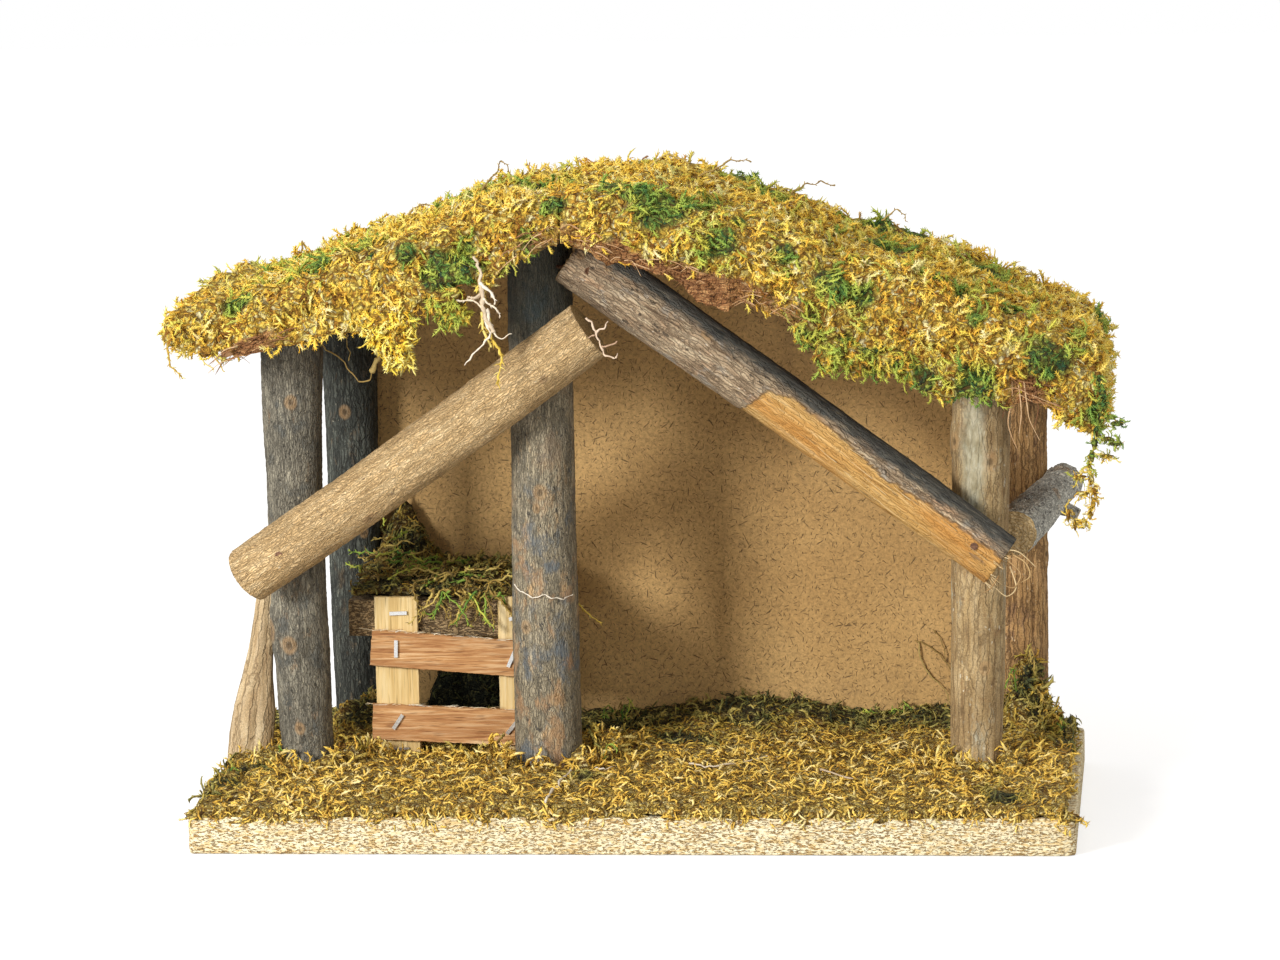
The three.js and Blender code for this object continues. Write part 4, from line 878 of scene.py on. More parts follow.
for fixed in (
    [(117.5, -33.5, 83.0), (115.2, -35.0, 79.6), (112.6, -34.5, 77.6)],
    [(119.0, -34.0, 91.5), (124.0, -35.0, 91.0), (129.4, -34.0, 85.9)],
    [(121.5, -33.0, 90.0), (126.0, -34.5, 87.5), (127.5, -34.0, 83.0), (124.5, -34.5, 81.0)],
    [(120.5, -34.0, 88.0), (124.5, -35.5, 84.0), (122.5, -35.0, 79.5), (119.5, -34.5, 80.0)],
    [(121.0, -33.0, 86.0), (123.0, -34.5, 79.5), (120.0, -34.5, 76.5), (116.5, -34.0, 79.0)],
):
    splinters.append(tube(smooth_path(vectors(*fixed), 5), 0.42, 0.15, 5, 0.6, 0.15, rng))
for _ in range(SIDE_SPLINTERS):
    share = rng.uniform(0.02, 0.5)
    root = torn_end - brace_way * BRACE_RUN * share + brace_up * rng.uniform(-4, 3) + Vector((0, -8.7, 0))
    path = [root, root - brace_way * rng.uniform(2, 5) + Vector((0, -0.7, 0.2)),
            root - brace_way * rng.uniform(6, 9) + Vector((0, -1.4, rng.uniform(-0.5, 1.2)))]
    splinters.append(tube(smooth_path(path, 3), 0.25, 0.06, 4, 0.6, 0.1, rng))
piece("brace_right_splinters", bundle("brace_right_splinters", splinters), splinter_wood, slot="pale_wood")

# Side rail
# A knobbly stick with wrinkled dark bark, from behind the front right post past the outside of the back
# right post. Its front end is freshly sawn and pale, and it keeps the stub of a twig.
rail_bark = bark_paint(
    "Wrinkled bark", (0.3, 0.29, 0.25), (0.71, 0.68, 0.58), (0.92, 0.89, 0.77),
    [((0.66, 0.55, 0.4), 0.38, 180.0)],
    [((0.55, 0.5, 0.4), 0.32, 700.0), ((0.06, 0.055, 0.05), 0.36, 500.0)],
    along=1.2, fineness=520.0, depth=0.9, lattice=(800.0, 0.8, 0.15, 0.45), wood=(0.86, 0.68, 0.4),
    core=(0.68, 0.46, 0.2),
)
rail = grow_log(
    "side_rail_right_bark", [(121.65, -3.56, 92.0), (129.35, 32.83, 95.54), (137.05, 69.23, 99.08)],
    (7.3, 7.0, 6.6, 6.0, 5.4), [(0.3, 130, 2.8, 1.3), (0.86, 80, 3.2, 1.4), (0.5, 40, 2.4, 1.0)], 8,
    lump=0.7, furrow=0.4, furrow_width=2.2, furrow_run=1.5, end_relief=0.5,
)
piece("side_rail_right_bark", rail, rail_bark, slot="dark_bark", replaces=["side_rail_right"])
stub = grow_log(
    "side_rail_stub", [(131.2, 41.6, 96.4), (136.5, 40.7, 93.8), (141.6, 39.9, 91.3)],
    (2.9, 2.6, 2.3, 2.0), (), 9, lump=0.2, furrow=0.2, furrow_width=1.2, furrow_run=2.0, end_relief=0.3,
    sides=28,
)
piece("side_rail_stub", stub, rail_bark, slot="dark_bark")

# Prop
# A split piece of branch, flat and pale, that leans on the left of the front left post and is nailed to
# it at its top. A dark groove runs down its face.
prop_wood = bark_paint(
    "Split wood", (0.34, 0.22, 0.11), (0.55, 0.41, 0.23), (0.66, 0.53, 0.34),
    [((0.42, 0.29, 0.15), 0.4, 130.0)],
    [((0.24, 0.15, 0.08), 0.3, 500.0)],
    fineness=520.0, along=0.06, depth=0.35, lattice=(330.0, 0.05, 0.07, 0.6),
)


def split_faces(share, angle):
    """Flat split faces instead of a round, and the groove down the front."""
    turned = np.degrees(angle) % 360
    facets = 0.7 * np.cos(np.radians(turned * 4 - 40)) + 0.3 * np.cos(np.radians(turned * 6 + 200 * share))
    groove_at = 100 - 22 * np.sin(share * 7)
    groove = np.exp(-((turned - groove_at) / 9) ** 2)
    return 0.35 * facets - 0.9 * groove * (1 - share * 0.6)


prop = grow_log(
    "prop_left_wood", [(-136, 1.46, FLOOR_LEVEL), (-130.37, -2.04, 49.1), (-124.74, -5.54, 85.9)],
    (6.9, 7.1, 6.7, 5.1, 4.0, 3.4, 3.1, 3.0), (), 10,
    furrow=0.12, furrow_width=1.0, furrow_run=20.0, flatness=0.62, carve=split_faces,
)
piece("prop_left_wood", prop, prop_wood, slot="tan_bark", replaces=["prop_left"])

# Loft board
# A block of the same chipboard behind the rack, nailed through the back wall and notched round the back
# left post. Its edge is darker than that of the base.
dark_chips = chipboard("Dark chipboard", (0.44, 0.31, 0.16), (0.27, 0.17, 0.075), (0.1, 0.065, 0.035), 0.48)
finish_node("loft_board", dark_chips)

# Rack
# Two upright strips and two slats of split wood, stapled together and to the loft board, with the gap
# between the slats to pull hay through. The strips are straw-coloured, the slats reddish with torn edges.
STRIP_SIZE = (14.7, 58.0, 2.4)
SLAT_SIZE = (58.8, 12.4, 2.0)
RACK_FRONT = 1.418
STRIP_FRONT = 3.718
SLAT_CENTRE_X = -64.15
UPPER_SLAT_Z, UPPER_SLAT_TILT = 51.1, -4.6
LOWER_SLAT_Z, LOWER_SLAT_TILT = 27.0, -2.5


def split_board(name, centre_x, centre_z, size, tilt, front, crumble, seed):
    """A thin board that stands upright, with crumbled edges, and its length along X or Z."""
    width, height, thick = size
    shift = Vector((seed * 9.1, seed * 4.3, 0))
    pitch = 0.55
    edge = []
    half_w, half_h = width / 2, height / 2
    outline = ((-half_w, -half_h), (half_w, -half_h), (half_w, half_h), (-half_w, half_h))
    ways = ((0, -1), (1, 0), (0, 1), (-1, 0))
    for start, end, way in zip(outline, outline[1:] + outline[:1], ways):
        run = Vector(end) - Vector(start)
        steps = max(2, round(run.length / pitch))
        edge += [(Vector(start) + run * (i / steps), Vector(way)) for i in range(steps)]
    levels = ((0, 0.18), (0.2, 0), (0.5, 0), (0.8, 0), (1, 0.2))
    turn = math.radians(tilt)
    corners = []
    for depth, worn in levels:
        for point, way in edge:
            rough = noise.noise(Vector((point.x * 0.55, point.y * 0.55, depth * 1.5)) + shift)
            fine = noise.noise(Vector((point.x * 1.9, point.y * 1.9, depth * 2.5)) - shift)
            inward = worn + crumble * (0.6 + rough + 0.6 * fine)
            spot = point - way * max(inward, -0.2)
            corners.append((
                (centre_x + spot.x * math.cos(turn) - spot.y * math.sin(turn)) * MM,
                (front + thick * (1 - depth)) * MM,
                (centre_z + spot.x * math.sin(turn) + spot.y * math.cos(turn)) * MM,
            ))
    return build_mesh(name, corners, stacked_faces(len(levels), len(edge)))


def split_wood(name, deep, body, light, run, wave):
    """Split wood whose grain runs along the axis with the small stretch."""
    material, tree, coords, wire = paint(name, 0.7, 0.35)
    grain = cloud(tree, stretch(tree, coords, *run), 620.0, 5.0, 0.62, wave)
    colour = ramp(tree, grain, (0.33, deep), (0.5, body), (0.7, light))
    broad = cloud(tree, stretch(tree, coords, *run), 150.0, 3.0, 0.5, wave)
    colour = stain(tree, colour, deep, broad, (0.4, 0.5), (0.62, 0.0))
    pores = cloud(tree, stretch(tree, coords, *(0.6 * value for value in run)), 2200.0, 2.0)
    colour = stain(tree, colour, shade(deep, 0.5), pores, (0.3, 0.7), (0.42, 0.0))
    wire(colour, maths(tree, "MULTIPLY_ADD", pores, 0.5, grain))
    return material


straw_wood = split_wood(
    "Straw wood", (0.6, 0.4, 0.15), (0.78, 0.58, 0.27), (0.88, 0.72, 0.42), (1, 1, 0.05), 0.2,
)
slat_wood = split_wood(
    "Reddish wood", (0.3, 0.12, 0.04), (0.57, 0.295, 0.115), (0.8, 0.55, 0.3), (0.1, 1, 1.5), 0.5,
)
for side, x in (("left", -84.9), ("right", -43.4)):
    strip = split_board(f"rack_strip_{side}_wood", x, FLOOR_LEVEL + STRIP_SIZE[1] / 2, STRIP_SIZE, 0,
                        STRIP_FRONT, 0.12, 3)
    piece(f"rack_strip_{side}_wood", strip, straw_wood, slot="pale_wood", replaces=[f"rack_strip_{side}"])
for level, z, tilt, seed in (
    ("upper", UPPER_SLAT_Z, UPPER_SLAT_TILT, 5), ("lower", LOWER_SLAT_Z, LOWER_SLAT_TILT, 8),
):
    slat = split_board(f"rack_slat_{level}_wood", SLAT_CENTRE_X, z, SLAT_SIZE, tilt, RACK_FRONT, 0.24, seed)
    piece(f"rack_slat_{level}_wood", slat, slat_wood, slot="red_wood", replaces=[f"rack_slat_{level}"])

# Rack fibres
# Pale fibres that stand up along the torn top edges of the slats, and one long splinter by the right
# strip. They are part of the slats and held at one end.
TORN_EDGE_RISE = 5.9
rng = random.Random(23)
fibres = []
for z, tilt, count in ((UPPER_SLAT_Z, UPPER_SLAT_TILT, 52), (LOWER_SLAT_Z, LOWER_SLAT_TILT, 46)):
    for _ in range(count):
        x = rng.uniform(-29, 28)
        depth = RACK_FRONT + rng.uniform(0.0, 1.6)
        edge_z = z + TORN_EDGE_RISE + x * math.tan(math.radians(tilt))
        at = Vector((SLAT_CENTRE_X + x, depth, edge_z))
        reach = rng.uniform(1.2, 5.5)
        rise = rng.uniform(0.0, 0.7)
        bow = rng.uniform(-0.5, 0.3)
        way = rng.choice((-1, 1))
        middle = at + Vector((way * reach / 2, bow, rise))
        path = [at, middle, at + Vector((way * reach, 2 * bow, rise * rng.uniform(0.3, 2)))]
        fibres.append(tube(smooth_path(path, 2), rng.uniform(0.12, 0.3), 0.06, 4, 0.6, 0.1, rng))
splinter_path = vectors((-50.2, 2.6, 22.8), (-50.9, 2.2, 18.0), (-52.4, 1.6, 13.2))
fibres.append(tube(smooth_path(splinter_path, 3), 0.5, 0.25, 4, 0.5, 0.1, rng))
pale_fibre = strand_paint("Pale fibre", (0.66, 0.46, 0.24), (0.85, 0.72, 0.5), (0.93, 0.87, 0.74))
piece("rack_fibres", bundle("rack_fibres", fibres), pale_fibre, slot="pale_wood")

# Staples
# Bright flat wire staples that hold the strips and the slats, shot in by hand at odd angles.
finish_metal("staple_", "Bright wire", 0.28, 0.03, 0.85, 2500.0, 2.0,
             (0.35, (0.72, 0.71, 0.69)), (0.65, (0.92, 0.92, 0.9)))

# Moss sprigs
# Dried moss is a mass of short curled plumes with tiny leaves close along them. A handful of different
# plumes is made here, and the moss on the roof, the floor and the loft is laid from them.
THREE_SIDED_FLAT = 0.6
LEAF_FLAT = 0.75


def frond(path, widths, flat):
    """Corners, faces and shares along of a three-sided tapered frond that ends in a point."""
    corners, faces, shares = [], [], []
    for i, point in enumerate(path[:-1]):
        forward = (path[i + 1] - path[max(i - 1, 0)]).normalized()
        side = forward.cross(Vector((0, 0, 1)))
        side = side.normalized() if side.length > 1e-4 else Vector((0, 1, 0))
        top = side.cross(forward)
        for k in range(3):
            turn = 2 * math.pi * k / 3 + math.pi / 2
            across, above = widths[i] * math.cos(turn), widths[i] * flat * math.sin(turn)
            corners.append(point + side * across + top * above)
            shares.append(i / (len(path) - 1))
        if i:
            first = (i - 1) * 3
            for k in range(3):
                after = first + (k + 1) % 3
                faces.append((first + k, after, after + 3, first + k + 3))
    corners.append(path[-1])
    shares.append(1.0)
    last = len(corners) - 1
    faces += [(last - 3 + k, last - 3 + (k + 1) % 3, last) for k in range(3)]
    faces.append((2, 1, 0))
    return corners, faces, shares


def sprig(name, seed, stem, steps, leaf, pairs, width, curl, arch):
    """One plume that grows from the origin along X, in millimetres. curl turns it sideways and arch lifts it
    at first and brings it down again."""
    rng = random.Random(seed)
    turn = rng.choice((-1, 1)) * curl
    heading = -turn * rng.uniform(0.2, 1.6)
    climb = arch
    path = [Vector((0, 0, 0))]
    for number in range(steps):
        heading += turn * rng.uniform(0.4, 1.5)
        climb += rng.uniform(-0.25, 0.25) - 2 * arch / steps
        level = math.cos(climb)
        way = Vector((math.cos(heading) * level, math.sin(heading) * level, math.sin(climb)))
        path.append(path[-1] + way * (stem / steps))
    widths = [width * (0.75 + 0.45 * math.sin(2.6 * (i + 0.6) / steps)) for i in range(steps)]
    parts = [frond(path, widths, THREE_SIDED_FLAT)]
    for number in range(2 * pairs):
        along = 0.3 + (number // 2) * (steps - 0.6) / pairs
        spot = min(int(along), steps - 1)
        root = path[spot].lerp(path[spot + 1], along - spot)
        ahead = (path[spot + 1] - path[spot]).normalized()
        side = Vector((-ahead.y, ahead.x, 0)) * (1 if number % 2 else -1)
        way = ahead * rng.uniform(0.6, 1.5) + side * rng.uniform(0.7, 1.3)
        way += Vector((0, 0, rng.uniform(-0.3, 0.6)))
        end = root + way.normalized() * leaf * rng.uniform(0.6, 1.3)
        parts.append(frond([root, end], [width * 0.85], LEAF_FLAT))
    corners, faces, shares = [], [], []
    for part_corners, part_faces, part_shares in parts:
        first = len(corners)
        corners += [corner * MM for corner in part_corners]
        faces += [tuple(first + index for index in face) for face in part_faces]
        shares += part_shares
    mesh = build_mesh(name, corners, faces, smooth=True)
    mark(mesh, "tip", "FLOAT", "POINT", shares)
    return bpy.data.objects.new(name, mesh)


def gather(name, count, **shape):
    heap = bpy.data.collections.new(name)
    for number in range(count):
        heap.objects.link(sprig(f"{name} {number}", number * 17 + len(name), **shape))
    return heap


def laying_tree():
    """Geometry nodes that lay sprigs over a bed of moss, along its flow and out from its surface."""
    tree = bpy.data.node_groups.new("Lay sprigs", "GeometryNodeTree")
    face = tree.interface
    for label, kind, start in (
        ("Bed", "NodeSocketGeometry", None), ("Sprigs", "NodeSocketCollection", None),
        ("Sprigs to the square metre", "NodeSocketFloat", 100000.0), ("Smallest", "NodeSocketFloat", 0.7),
        ("Largest", "NodeSocketFloat", 1.2), ("Lift", "NodeSocketFloat", 0.5),
        ("Tangle", "NodeSocketFloat", 1.0), ("Seed", "NodeSocketInt", 1),
        ("Finish", "NodeSocketMaterial", None),
    ):
        socket = face.new_socket(label, in_out="INPUT", socket_type=kind)
        if start is not None:
            socket.default_value = start
    face.new_socket("Moss", in_out="OUTPUT", socket_type="NodeSocketGeometry")
    given = tree.nodes.new("NodeGroupInput").outputs
    cover = add(tree, "GeometryNodeInputNamedAttribute", {"Name": "cover"}, data_type="FLOAT").outputs[0]
    flow = add(tree, "GeometryNodeInputNamedAttribute", {"Name": "flow"}, data_type="FLOAT_VECTOR").outputs[0]
    spread = add(tree, "GeometryNodeDistributePointsOnFaces", {
        "Mesh": given["Bed"], "Density": maths(tree, "MULTIPLY", given["Sprigs to the square metre"], cover),
        "Seed": given["Seed"],
    })
    draw = add(tree, "FunctionNodeRandomValue", {
        0: (-1.0, -1.0, -1.0), 1: (1.0, 1.0, 1.0), "Seed": given["Seed"],
    }, data_type="FLOAT_VECTOR").outputs[0]
    outward = spread.outputs["Normal"]
    along = vector_maths(tree, "NORMALIZE", vector_maths(tree, "CROSS_PRODUCT", outward, draw))
    along = add(tree, "ShaderNodeVectorMath", {0: along, "Scale": given["Tangle"]}, operation="SCALE")
    lifted = add(tree, "ShaderNodeVectorMath", {0: outward, "Scale": given["Lift"]}, operation="SCALE")
    way = vector_maths(tree, "ADD", along.outputs[0], lifted.outputs[0])
    turned = add(tree, "FunctionNodeAlignRotationToVector", {
        "Rotation": spread.outputs["Rotation"], "Vector": vector_maths(tree, "ADD", way, flow),
    }, axis="X")
    roll = add(tree, "FunctionNodeRandomValue", {2: -0.7, 3: 0.7, "Seed": given["Seed"]}, data_type="FLOAT")
    rolled = add(tree, "FunctionNodeAxisAngleToRotation", {"Axis": (1.0, 0.0, 0.0), "Angle": roll.outputs[1]})
    turned = add(tree, "FunctionNodeRotateRotation", {
        "Rotation": turned.outputs[0], "Rotate By": rolled.outputs[0],
    }, rotation_space="LOCAL")
    size = add(tree, "FunctionNodeRandomValue", {
        2: given["Smallest"], 3: given["Largest"], "Seed": given["Seed"],
    }, data_type="FLOAT").outputs[1]
    tint = add(tree, "FunctionNodeRandomValue", {2: 0.0, 3: 1.0, "Seed": given["Seed"]}, data_type="FLOAT")
    tinted = add(tree, "GeometryNodeStoreNamedAttribute", {
        "Geometry": spread.outputs["Points"], "Name": "tint", "Value": tint.outputs[1],
    }, data_type="FLOAT", domain="POINT")
    heap = add(tree, "GeometryNodeCollectionInfo", {
        "Collection": given["Sprigs"], "Separate Children": True, "Reset Children": True,
    })
    placed = add(tree, "GeometryNodeInstanceOnPoints", {
        "Points": tinted.outputs[0], "Instance": heap.outputs[0], "Pick Instance": True,
        "Rotation": turned.outputs[0], "Scale": size,
    })
    real = add(tree, "GeometryNodeRealizeInstances", {"Geometry": placed.outputs[0]})
    done = add(tree, "GeometryNodeSetMaterial", {"Geometry": real.outputs[0], "Material": given["Finish"]})
    add(tree, "NodeGroupOutput", {"Moss": done.outputs[0]})
    return tree


LAY_SPRIGS = laying_tree()
NOISE_SEED = 5
TUCK_FRONT = -76
TUCK_BACK = 86
TUCKED_SHARE = 0.35
# Without a seed noise_vector starts from the clock, and the plumes run another way each time.
noise.seed_set(NOISE_SEED)


def evaluated_mesh(obj):
    """The plain mesh that an object's modifiers give."""
    view = bpy.context.evaluated_depsgraph_get()
    view.update()
    return bpy.data.meshes.new_from_object(obj.evaluated_get(view))


def tuck_in(mesh):
    """Presses plumes that stand far out at the front and the back closer to their mat."""
    places = np.empty(3 * len(mesh.vertices), dtype=np.float32)
    mesh.vertices.foreach_get("co", places)
    depth = places[1::3] / MM
    depth = np.where(depth > TUCK_BACK, TUCK_BACK + (depth - TUCK_BACK) * TUCKED_SHARE, depth)
    depth = np.where(depth < TUCK_FRONT, TUCK_FRONT + (depth - TUCK_FRONT) * TUCKED_SHARE, depth)
    places[1::3] = depth * MM
    mesh.vertices.foreach_set("co", places)


def lay(name, bed, **settings):
    """Sprigs laid over a bed, as a piece."""
    obj = bpy.data.objects.new(name, bed)
    bpy.context.scene.collection.objects.link(obj)
    laid = obj.modifiers.new("Lay", "NODES")
    laid.node_group = LAY_SPRIGS
    for socket in LAY_SPRIGS.interface.items_tree:
        if socket.in_out == "INPUT" and socket.name in settings:
            laid[socket.identifier] = settings[socket.name]
    mesh = evaluated_mesh(obj)
    mesh.name = name
    tuck_in(mesh)
    obj.modifiers.clear()
    obj.data = mesh
    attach(obj, "root")
    return obj


EAVE_START = 134
EAVE_DRAW = 0.1


def moss_bed(name, node, grain, swell, sink, seed, seam=None, trim=()):
    """The CAD mat, evened out and roughened, for plumes to be laid on.

    At a seam it keeps its place along X, and its far end draws in. trim holds the centre, reach and height
    of low swells and hollows of its top.
    """
    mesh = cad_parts[node].data.copy()
    merged = bmesh.new()
    merged.from_mesh(mesh)
    bmesh.ops.remove_doubles(merged, verts=merged.verts, dist=1e-6)
    merged.to_mesh(mesh)
    merged.free()
    obj = bpy.data.objects.new(name, mesh)
    bpy.context.scene.collection.objects.link(obj)
    evened = obj.modifiers.new("Even out", "REMESH")
    evened.mode = "VOXEL"
    evened.voxel_size = grain * MM
    bed = evaluated_mesh(obj)
    bed.name = name
    bpy.data.objects.remove(obj)
    places = np.empty(3 * len(bed.vertices), dtype=np.float32)
    normals = np.empty_like(places)
    bed.vertices.foreach_get("co", places)
    bed.vertex_normals.foreach_get("vector", normals)
    places = places.reshape(-1, 3) / MM
    own = Vector((seed, 0, 0))
    rough = np.array([
        noise.noise(Vector(place) / 9 + own) + 0.45 * noise.noise(Vector(place) / 3.2) for place in places
    ])
    offsets = normals.reshape(-1, 3) * (swell * rough - sink)[:, None]
    if seam is not None:
        offsets[:, 0] *= np.clip((np.abs(places[:, 0] - seam) - 2) / 4, 0, 1)
    places += offsets
    if seam is not None:
        past = np.clip(np.abs(places[:, 0]) - EAVE_START, 0, None)
        places[:, 0] -= EAVE_DRAW * np.sign(places[:, 0]) * past
    upward = np.clip(normals[2::3] * 2, 0, 1)
    for centre, reach, rise in trim:
        places[:, 2] += rise * np.exp(-((places[:, 0] - centre) / reach) ** 2) * upward
    bed.vertices.foreach_set("co", (places * MM).ravel())
    bed.update()
    return bed


def droop_over_rim(bed, reach, fall):
    """Lets the front of the floor mat hang a little over the board, here more and there less. The mat keeps
    off the two side edges and lies low in the back right corner."""
    places = np.empty(3 * len(bed.vertices), dtype=np.float32)
    bed.vertices.foreach_get("co", places)
    places = places.reshape(-1, 3) / MM
    rim = np.clip((-places[:, 1] - BASE_DEPTH / 2 + 3) / 3, 0, 1)
    low = np.clip((FLOOR_LEVEL + 4 - places[:, 2]) / 4, 0, 1)
    uneven = np.array([0.55 + 1.1 * noise.noise(Vector(place) / 7) for place in places])
    places[:, 2] -= fall * rim * low * np.clip(uneven, 0, 1.4)
    places[:, 1] -= reach * rim
    inward = np.clip((np.abs(places[:, 0]) - BASE_LENGTH / 2 + 5) / 5, 0, 1)
    places[:, 0] -= 2.2 * inward * np.sign(places[:, 0])
    back_right = np.clip((places[:, 0] - 128) / 6, 0, 1) * np.clip((places[:, 1] - 20) / 15, 0, 1)
    places[:, 2] -= 0.7 * back_right * np.clip(places[:, 2] - FLOOR_LEVEL - 2, 0, None)
    bed.vertices.foreach_set("co", (places * MM).ravel())
    bed.update()


def dress_bed(bed, cover, flow, green, soil):
    """Marks a bed with where sprigs lie, which way they run, how green they are and where soil shows."""
    places = [corner.co / MM for corner in bed.vertices]
    normals = [corner.normal.copy() for corner in bed.vertices]
    pairs = list(zip(places, normals))
    mark(bed, "cover", "FLOAT", "POINT", [cover(place, normal) for place, normal in pairs])
    mark(bed, "flow", "FLOAT_VECTOR", "POINT", [flow(place, normal) for place, normal in pairs])
    mark(bed, "green", "FLOAT", "POINT", [green(place) for place in places])
    mark(bed, "soil", "FLOAT", "POINT", [soil(place) for place in places])


def swirl(place, normal, size, strength):
    """A slowly turning direction in the surface, so that neighbouring plumes run together in locks."""
    way = noise.noise_vector(place / size) * strength
    return way - normal * way.dot(normal)


def tufted(place, size, thin):
    """How densely plumes stand: full in the clumps and thin in the hollows between them."""
    return min(1.0, max(thin, 0.62 + 1.5 * noise.noise(place / size + Vector((7, 3, 1)))))


def moss_paint(name, tones, greens, yellow):
    """Moss in the tones of its own tint, greener where its bed is, and darker at each root."""
    material, tree, coords, wire = paint(name, 0.75, 0.1)
    tint = attribute(tree, "tint")
    clump = cloud(tree, coords, 130.0, 3.0, 0.6)
    pick = maths(tree, "MULTIPLY_ADD", clump, 2.0, maths(tree, "MULTIPLY_ADD", tint, 0.75, -0.85))
    share = maths(tree, "MULTIPLY_ADD", tint, 0.5, maths(tree, "SUBTRACT", attribute(tree, "green"), 0.25))
    colour = stain(tree, ramp(tree, pick, *tones), yellow, share, (0.2, 0.0), (0.36, 0.85))
    colour = stain(tree, colour, ramp(tree, pick, *greens), share, (0.4, 0.0), (0.56, 1.0))
    root = ramp(tree, attribute(tree, "tip"), (0.0, (0.6, 0.5, 0.42)), (0.35, (1.0, 0.97, 0.93)),
                (1.0, (1.2, 1.18, 1.05)))
    wire(blend(tree, 1.0, colour, root, "MULTIPLY"), cloud(tree, coords, 1800.0, 2.0))
    return material


def bed_paint(name, tones, greens, soil, strokes):
    """The matted moss between the plumes: short curled strokes with painted shade in the gaps, and bare soil
    where marked.
    """
    material, tree, coords, wire = paint(name, 0.95, 1.2)
    moved = wandering(tree, coords, 300.0, (0.006, 0.006, 0.006))
    stroke = add(tree, "ShaderNodeTexVoronoi", {"Vector": moved, "Scale": strokes, "Randomness": 1.0})
    pick = add(tree, "ShaderNodeSeparateColor", {0: stroke.outputs["Color"]}).outputs[0]
    colour = ramp(tree, pick, *tones)
    colour = stain(tree, colour, ramp(tree, pick, *greens), attribute(tree, "green"), (0.3, 0.0), (0.5, 1.0))
    # Painted shade: the gaps between the strokes darken as the shade deep in the mat would.
    gap = ramp(tree, stroke.outputs["Distance"], (0.35, 0.0), (0.8, 0.75))
    darkest = tones[0][1]
    colour = blend(tree, gap, colour, shade(darkest, 0.3))
    clods = cloud(tree, coords, 420.0, 5.0, 0.65)
    colour = stain(tree, colour, shade(darkest, 0.35), clods, (0.4, 0.5), (0.55, 0.0))
    layers = cloud(tree, stretch(tree, coords, 0.4, 0.4, 1.6), 900.0, 5.0, 0.7, 0.6)
    earth = ramp(tree, layers, (0.36, shade(soil, 0.2)), (0.5, soil), (0.66, (0.6, 0.34, 0.14)))
    wire(blend(tree, attribute(tree, "soil"), colour, earth), maths(tree, "SUBTRACT", clods, gap))
    return material


def shaded(stops, share):
    """The same stops of a ramp with each tone dimmed."""
    return tuple((position, shade(tone, share)) for position, tone in stops)


gold_tones = (
    (0.0, (0.3, 0.12, 0.02)), (0.14, (0.6, 0.32, 0.045)), (0.34, (0.86, 0.53, 0.065)),
    (0.6, (0.96, 0.71, 0.11)),
    (0.85, (0.97, 0.78, 0.22)), (1.0, (0.95, 0.85, 0.46)),
)
green_tones = (
    (0.0, (0.02, 0.06, 0.035)), (0.3, (0.07, 0.17, 0.045)), (0.6, (0.2, 0.34, 0.06)), (1.0, (0.5, 0.58, 0.1)),
)
YELLOW_GREEN = (0.5, 0.54, 0.08)
PLUME_KINDS = 14
bed_tones = shaded(gold_tones, 0.9)
bed_greens = shaded(green_tones, 0.9)
roof_moss = moss_paint("Golden moss", gold_tones, green_tones, YELLOW_GREEN)
roof_bed_paint = bed_paint("Roof moss bed", bed_tones, bed_greens, (0.3, 0.125, 0.045), 700.0)
roof_sprigs = gather(
    "Roof plume", PLUME_KINDS, stem=5.0, steps=4, leaf=1.5, pairs=5, width=0.34, curl=0.42, arch=0.5,
)

# Roof moss
# Thick mats of golden moss with green patches, glued over both panels. They hang over the front edge in
# lobes, and the reddish roots and soil under them show along the front, most of all by the ridge.
ROOF_GREEN = (
    (-101, -32, 186, 8.1), (-127, -44, 176, 3.9), (-121, -30, 181, 2.8), (-70, -49, 191, 3),
    (-57, -49, 184, 7),
    (-58, -51, 171, 6), (-23, -46, 206, 3.8), (-6, -28, 210, 5.8), (2, -44, 211, 4.5), (11, -42, 205, 8),
    (20, -33, 205, 7), (25, -2, 202, 6), (41, 48, 203, 7), (31, -49, 194, 5), (36, -39, 199, 2.8),
    (51, -46, 189, 3.2), (65, -48, 181, 4.8), (75, -48, 176, 4), (73, 69, 186, 6), (86, 74, 183, 4.1),
    (113, 46, 175, 7), (113, -17, 174, 3.4), (123, -29, 169, 5), (144, -36, 163, 4.8), (135, -49, 155, 6.6),
    (111, -48, 147, 6), (94, -50, 149, 4.5), (57, -48, 164, 6), (68, -48, 158, 7), (80, -48, 157, 5),
    (151, -50, 139, 4),
    (-60, 36, 196, 10), (-118, 30, 178, 9), (30, 74, 203, 8), (-30, 20, 203, 8), (80, 20, 188, 8),
)
YOUNG_LEFT, YOUNG_RIGHT, YOUNG_TOP = 45, 92, 168
ROOF_SWELLS = ((-140, 17, -1.2), (-30, 11, -1.4), (43, 11, 1.8), (90, 22, 1.2), (140, 8, -1.0))
ROOF_FRONT = -45
ROOF_BACK = 82
LEFT_EAVE = -132
RIGHT_EAVE = 149
BARE_STRETCHES = ((14, 42), (-122, 9), (128, 6))
PLUMES_PER_LAYER = 73500.0


def near_patches(place, patches, spread):
    """1 in the middle of a patch, given by its place and its radius, and less further out."""
    return max(math.exp(-((place - Vector(patch[:3])).length / (spread * patch[3])) ** 2)
               for patch in patches)


def roof_green(place):
    patches = near_patches(place, ROOF_GREEN, 1.3)
    stray = max(0.0, 1.3 * noise.noise(place / 13) - 0.35)
    young = 0.62 if YOUNG_LEFT < place.x < YOUNG_RIGHT and place.z < YOUNG_TOP else 1.0
    return min(1.0, 0.92 * young * max(patches, stray) + 0.3 * noise.noise(place / 5))


